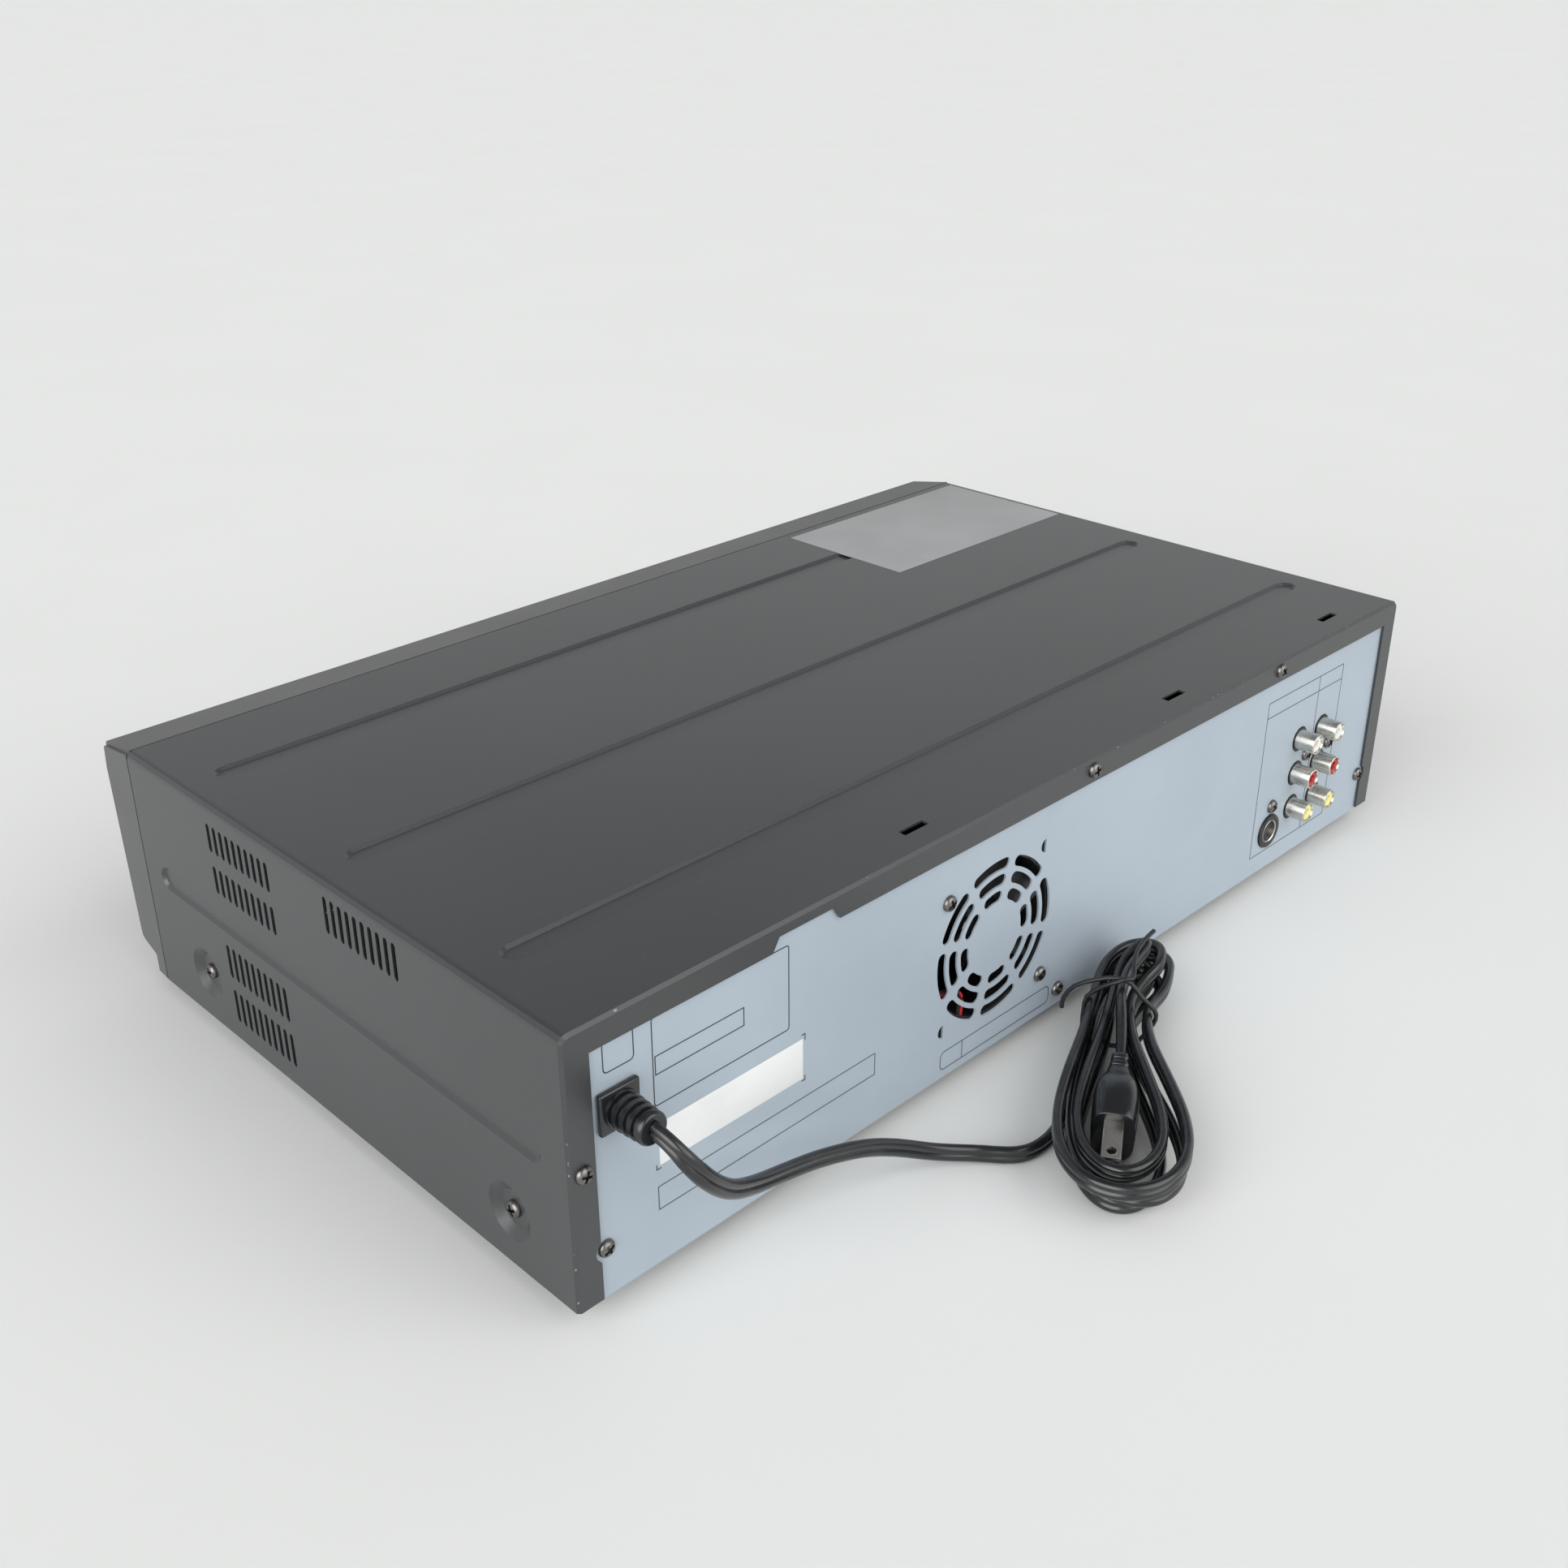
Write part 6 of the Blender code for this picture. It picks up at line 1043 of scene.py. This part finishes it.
def plug_body():
    """The moulded plug in its own frame: rings of a squared oval, one behind the other."""
    def squared(value):
        return math.copysign(abs(value) ** PLUG_SQUARENESS, value)

    outline = [(squared(x), squared(z)) for x, z in arc((0.0, 0.0), 1.0, 0.0, 360.0, PLUG_SIDES)[:-1]]
    return tube("plug", [[(a * x, along, b * z) for x, z in outline] for along, a, b in PLUG_RINGS])


def plug_blade(side):
    """One flat blade with its hole, in the plug's own frame."""
    end = PLUG_RINGS[-1][0]
    z = side * BLADE_SPACING / 2
    low = (-BLADE_HALF_WIDTH, end - BLADE_ROOT, z - BLADE_HALF_WALL)
    high = (BLADE_HALF_WIDTH, end + BLADE_LENGTH, z + BLADE_HALF_WALL)
    hole = cylinder((0.0, high[1] - BLADE_HOLE_INSET, z), BLADE_HOLE_RADIUS, 0.004, 20, "Z")
    return bevelled(minus(box(low, high), hole), BLADE_ROUND, 2, 50.0)


def tie_wire():
    """The thin tie once round the hank's waist, with its free end along the far lobe."""
    ahead = Vector((-math.cos(TIE_HEADING), -math.sin(TIE_HEADING), 0.0))
    side = Vector((ahead.y, -ahead.x, 0.0))
    middle = Vector((*TIE_MIDDLE, 0.0))
    up = Vector((0.0, 0.0, 1.0))
    route = smooth_route(tenths(middle + side * a + up * b + ahead * c for a, b, c in TIE_ROUTE), 2)
    curve = bpy.data.curves.new("tie", "CURVE")
    curve.dimensions = "3D"
    curve.bevel_depth = TIE_RADIUS
    curve.bevel_resolution = 3
    curve.use_fill_caps = True
    line = curve.splines.new("POLY")
    line.points.add(len(route) - 1)
    for target, point in zip(line.points, route):
        target.co = (*point, 1.0)
    pick(linked("hank_tie", curve))
    bpy.ops.object.convert(target="MESH")
    return bpy.context.active_object


class DECK_OT_add_plug(bpy.types.Operator):
    """Adds the moulded plug with its ribs, its two blades, and the tie round the hank"""

    bl_idname = "deck.add_plug"
    bl_label = "Add the plug and the tie"

    def execute(self, context):
        body = bevelled(plug_body(), PLUG_ROUND, 2, 50.0)
        metal = joined([plug_blade(side) for side in (-1.0, 1.0)])
        for piece in (body, metal):
            piece.data.transform(plug_matrix())
        shade(keep(body, "plug_moulding", "cord_jacket", "power_plug"), 50.0)
        shade(keep(metal, "plug_blades", "bright_nickel"), 40.0)
        shade(keep(tie_wire(), "hank_tie", "black_plastic", "cord_tie"), 60.0)
        return {"FINISHED"}


class DECK_OT_add_bushing(bpy.types.Operator):
    """Adds the cord's bushing: a plate against the panel and a ribbed sleeve"""

    bl_idname = "deck.add_bushing"
    bl_label = "Add the bushing"

    def execute(self, context):
        x, tip, z = CORD_EXIT
        start = PANEL_Y + BUSHING_REST
        low = (x - BUSHING_HALF_WIDTH, start, z - BUSHING_HALF_HEIGHT)
        high = (x + BUSHING_HALF_WIDTH, start + BUSHING_PLATE, z + BUSHING_HALF_HEIGHT)
        plate = bevelled(box(low, high), BUSHING_ROUND, 3)
        profile = [(BUSHING_BORE, start + 0.001), (BUSHING_NECK, start + 0.001)]
        profile.append((BUSHING_NECK, start + 0.0032))
        for rib in range(BUSHING_RIBS):
            base = start + BUSHING_RIB_START + rib * BUSHING_RIB_PITCH
            outer = BUSHING_RIB_RADIUS - rib * BUSHING_RIB_TAPER
            inner = outer - BUSHING_GROOVE
            profile += [(inner, base), (inner, base + 0.0009), (outer, base + 0.0011), (outer, base + 0.0026)]
        profile += [(BUSHING_TIP, tip - 0.0003), (BUSHING_TIP - 0.0004, tip), (BUSHING_BORE, tip)]
        sleeve = lathe(profile, (x, 0.0, z), 36)
        piece = joined([plate, sleeve])
        shade(keep(piece, "bushing_sleeve", "cord_jacket", "cord_bushing"), 35.0)
        return {"FINISHED"}


def video_round(sizes, sides, across=0.0, up=0.0):
    """A cylinder of the video socket, from its place along, radius and depth."""
    along, radius, depth = sizes
    x, y, z = S_VIDEO_PLACE
    return cylinder((x + across, y + along, z + up), radius, depth, sides)


class DECK_OT_add_sockets(bpy.types.Operator):
    """Adds the six phono sockets and the round video socket"""

    bl_idname = "deck.add_sockets"
    bl_label = "Add the sockets"

    def execute(self, context):
        collars = []
        for side, x in JACK_COLUMNS:
            for row, z, finish in zip(JACK_ROWS, JACK_HEIGHTS, JACK_FINISHES):
                place, name = (x, PANEL_Y, z), f"{side}_{row}"
                barrel, centre = lathe(JACK_SHELL, place, 40), lathe(JACK_INSERT, place, 36)
                shade(keep(barrel, f"{name}_barrel", "bright_nickel", f"{name}_shell"), 40.0)
                shade(keep(centre, f"{name}_centre", finish, f"{name}_insert"), 40.0)
                collars.append(lathe(JACK_COLLAR, place, 36))
        shade(keep(joined(collars), "socket_collars", "black_plastic"), 40.0)
        middle = Vector(S_VIDEO_PLACE)
        block = bevelled(minus(video_round(VIDEO_FACE, 48), video_round(VIDEO_WELL, 40)), VIDEO_ROUND, 2)
        body = video_round(VIDEO_BODY, 40)
        floor = video_round(VIDEO_FLOOR, 36)
        pins = [video_round(VIDEO_PIN, 12, dx, dz) for dx, dz in VIDEO_PINS]
        key = box(*(middle + Vector(corner) for corner in VIDEO_KEY))
        piece = joined([block, body, minus(floor, key, *pins)])
        shade(keep(piece, "video_socket_body", "black_plastic", "s_video_socket"), 35.0)
        shade(keep(lathe(VIDEO_RING, middle, 44), "video_socket_ring", "bright_nickel"), 40.0)
        return {"FINISHED"}


def one_screw(radius):
    """A cross-head pan screw at the origin, its head along Y."""
    profile = [(radius * share, along) for share, along in SCREW_RADIUS_SHARES]
    head = lathe(profile, (0.0, 0.0, 0.0), 36)
    arm, half = radius * CROSS_ARM_SHARE, radius * CROSS_HALF_SHARE
    low, high = CROSS_SPAN
    bars = [box((-x, low, -z), (x, high, z)) for x, z in ((arm, half), (half, arm))]
    return shade(minus(head, *bars), 40.0)


class DECK_OT_add_screws(bpy.types.Operator):
    """Adds the cross-head screws of the cover, the panel, the fan and the sockets"""

    bl_idname = "deck.add_screws"
    bl_label = "Add the screws"

    def execute(self, context):
        screw = one_screw(settings().screw_radius)
        places = []
        for x, y, z, turn in REAR_SCREWS:
            places.append(Matrix.Translation((x, y, z)) @ Matrix.Rotation(math.radians(turn), 4, "Y"))
        for side in (-1.0, 1.0):
            for y in DISH_SCREWS_Y:
                place = Matrix.Translation((side * (SIDE_X - DISH_DEPTH), y, DISH_SCREW_Z))
                outwards = Matrix.Rotation(math.radians(-90.0 * side), 4, "Z")
                places.append(place @ outwards @ Matrix.Rotation(DISH_SCREW_TURN * side, 4, "Y"))
        copies = [copied(screw) for _ in places]
        for piece, place in zip(copies, places):
            piece.data.transform(place)
        bpy.data.objects.remove(screw)
        keep(joined(copies), "screws", "screw_steel")
        return {"FINISHED"}


class DECK_OT_add_prints(bpy.types.Operator):
    """Adds the bare printed frames of the rear panel, its blank sticker and the plain label on the cover"""

    bl_idname = "deck.add_prints"
    bl_label = "Add the printed frames and the labels"

    def execute(self, context):
        y, line = PANEL_Y - PRINT_SINK, settings().print_line
        for name, finish, frames, bars in PRINTS:
            parts = []
            for low, high, radius in frames:
                parts.append(outline_strip(name, (low, high, radius), line, PRINT_RISE, y, PAINTS[finish]))
            for (x0, z0), (x1, z1) in bars:
                parts.append(box((x0, y, z0), (max(x1, x0 + line), y + PRINT_RISE, max(z1, z0 + line))))
            keep(joined(parts), name, finish)
        (x0, z0), (x1, z1) = STICKER
        sticker = box((x0, PANEL_Y - STICKER_RISE, z0), (x1, PANEL_Y + STICKER_RISE, z1))
        shade(keep(bevelled(sticker, LABEL_EDGE, 2), "blank_sticker", "sticker_paper"), 40.0)
        (x0, y0), (x1, y1) = COVER_LABEL
        label = box((x0, y0, TOP_Z - LABEL_SINK), (x1, y1, TOP_Z + LABEL_RISE))
        shade(keep(bevelled(label, LABEL_EDGE, 2), "cover_label", "label_film"), 40.0)
        return {"FINISHED"}


class DECK_OT_add_fan_trim(bpy.types.Operator):
    """Adds what shows through the grille: the fan's two wires and the bright ring on its hub"""

    bl_idname = "deck.add_fan_trim"
    bl_label = "Add the fan's wires and ring"

    def execute(self, context):
        ring = lathe(HUB_RING_PROFILE, HUB_RING, 48)
        named(shade(ring, 40.0), "fan_hub_ring", PAINTS["bright_nickel"])
        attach(ring, "fan_rotor")
        section = arc((0.0, 0.0), WIRE_RADIUS, 0.0, 360.0, 8)[:-1]
        for name, finish, shift in WIRES:
            route = smooth_route([Vector(point) + Vector((shift, 0.0, shift)) for point in FAN_WIRE], 5)
            keep(swept(name, route, section, PAINTS[finish]), name, finish)
        return {"FINISHED"}


class DECK_OT_mix_finishes(bpy.types.Operator):
    """Mixes the paints, plastics and metals of the deck"""

    bl_idname = "deck.mix_finishes"
    bl_label = "Mix the finishes"

    def execute(self, context):
        make_paints(settings())
        return {"FINISHED"}


def add_camera():
    out = math.cos(CAMERA_ELEVATION)
    plan = (out * math.sin(CAMERA_AZIMUTH), -out * math.cos(CAMERA_AZIMUTH))
    back = Vector((*plan, math.sin(CAMERA_ELEVATION)))
    level = Vector((0.0, 0.0, 1.0)).cross(back).normalized()
    upright = back.cross(level)
    right = level * math.cos(CAMERA_ROLL) + upright * math.sin(CAMERA_ROLL)
    up = upright * math.cos(CAMERA_ROLL) - level * math.sin(CAMERA_ROLL)
    data = bpy.data.cameras.new("camera")
    data.lens = CAMERA_LENS
    data.sensor_width = CAMERA_SENSOR
    data.shift_x, data.shift_y = CAMERA_SHIFT
    data.clip_start, data.clip_end = CAMERA_REACH
    camera = linked("camera", data)
    turn = Matrix((right, up, back)).transposed().to_4x4()
    camera.matrix_world = Matrix.Translation(CAMERA_PLACE) @ turn
    bpy.context.scene.camera = camera


def add_lights():
    for name, strength, spread, source in SUNS:
        data = bpy.data.lights.new(name, "SUN")
        data.energy = strength
        data.angle = math.radians(spread)
        linked(name, data).rotation_euler = Vector(source).to_track_quat("Z", "Y").to_euler()


def add_world():
    """Soft light all round; what the camera and gloss see is a pale backdrop under a dimmer ceiling."""
    world = bpy.data.worlds.new("studio")
    bpy.context.scene.world = world
    nodes = Nodes(world)
    nodes.tree.nodes.clear()
    place = nodes.node("ShaderNodeTexCoord", output="Generated")
    height = nodes.node("ShaderNodeSeparateXYZ", inputs=(place,), output="Z")
    low, high = CEILING_SINE
    fade = nodes.node("ShaderNodeMapRange", inputs={"Value": height, "From Min": low, "From Max": high})
    tone = nodes.mix(fade, BACKDROP, CEILING)
    light = nodes.node("ShaderNodeBackground", inputs=((1.0, 1.0, 1.0, 1.0), WORLD_LIGHT))
    seen = nodes.node("ShaderNodeBackground", inputs=(tone, 1.0))
    share = nodes.node("ShaderNodeLightPath", output="Is Camera Ray")
    for ray in ("Is Glossy Ray", "Is Transmission Ray"):
        share = share.maths("MAXIMUM", nodes.node("ShaderNodeLightPath", output=ray))
    surface = nodes.node("ShaderNodeMixShader", inputs=(share, light, seen))
    nodes.feed(nodes.tree.nodes.new("ShaderNodeOutputWorld").inputs["Surface"], surface)


class DECK_OT_set_stage(bpy.types.Operator):
    """Sets the camera, the pale floor, the soft lights and the backdrop"""

    bl_idname = "deck.set_stage"
    bl_label = "Set the stage"

    def execute(self, context):
        add_camera()
        add_lights()
        add_world()
        select_none()
        bpy.ops.mesh.primitive_plane_add(size=FLOOR_SIZE, location=(0.0, 0.0, -FLOOR_DROP))
        floor = settle(bpy.context.active_object)
        named(floor, "stage_floor", floor_paint(FLOOR_COLOUR))
        context.scene.view_settings.view_transform = "Standard"
        return {"FINISHED"}


STEPS = (
    DECK_OT_mix_finishes, DECK_OT_set_stage, DECK_OT_add_bushing, DECK_OT_add_plug, DECK_OT_add_cord,
    DECK_OT_dress_nodes, DECK_OT_add_sockets, DECK_OT_add_screws, DECK_OT_add_prints, DECK_OT_add_fan_trim,
)


class DECK_PT_steps(bpy.types.Panel):
    """Sidebar panel with the deck's sizes and steps"""

    bl_idname = "DECK_PT_steps"
    bl_label = "Disc and tape deck"
    bl_space_type = "VIEW_3D"
    bl_region_type = "UI"
    bl_category = "Deck"

    def draw(self, context):
        for key in DeckSettings.__annotations__:
            self.layout.prop(context.scene.deck_settings, key)
        for step in STEPS:
            self.layout.operator(step.bl_idname)


CLASSES = (DeckSettings, *STEPS, DECK_PT_steps)


def register():
    for item in CLASSES:
        bpy.utils.register_class(item)
    bpy.types.Scene.deck_settings = bpy.props.PointerProperty(type=DeckSettings)


def unregister():
    del bpy.types.Scene.deck_settings
    for item in reversed(CLASSES):
        bpy.utils.unregister_class(item)


def main():
    register()
    for step in STEPS:
        group, name = step.bl_idname.split(".")
        getattr(getattr(bpy.ops, group), name)()


if __name__ == "__main__":
    main()
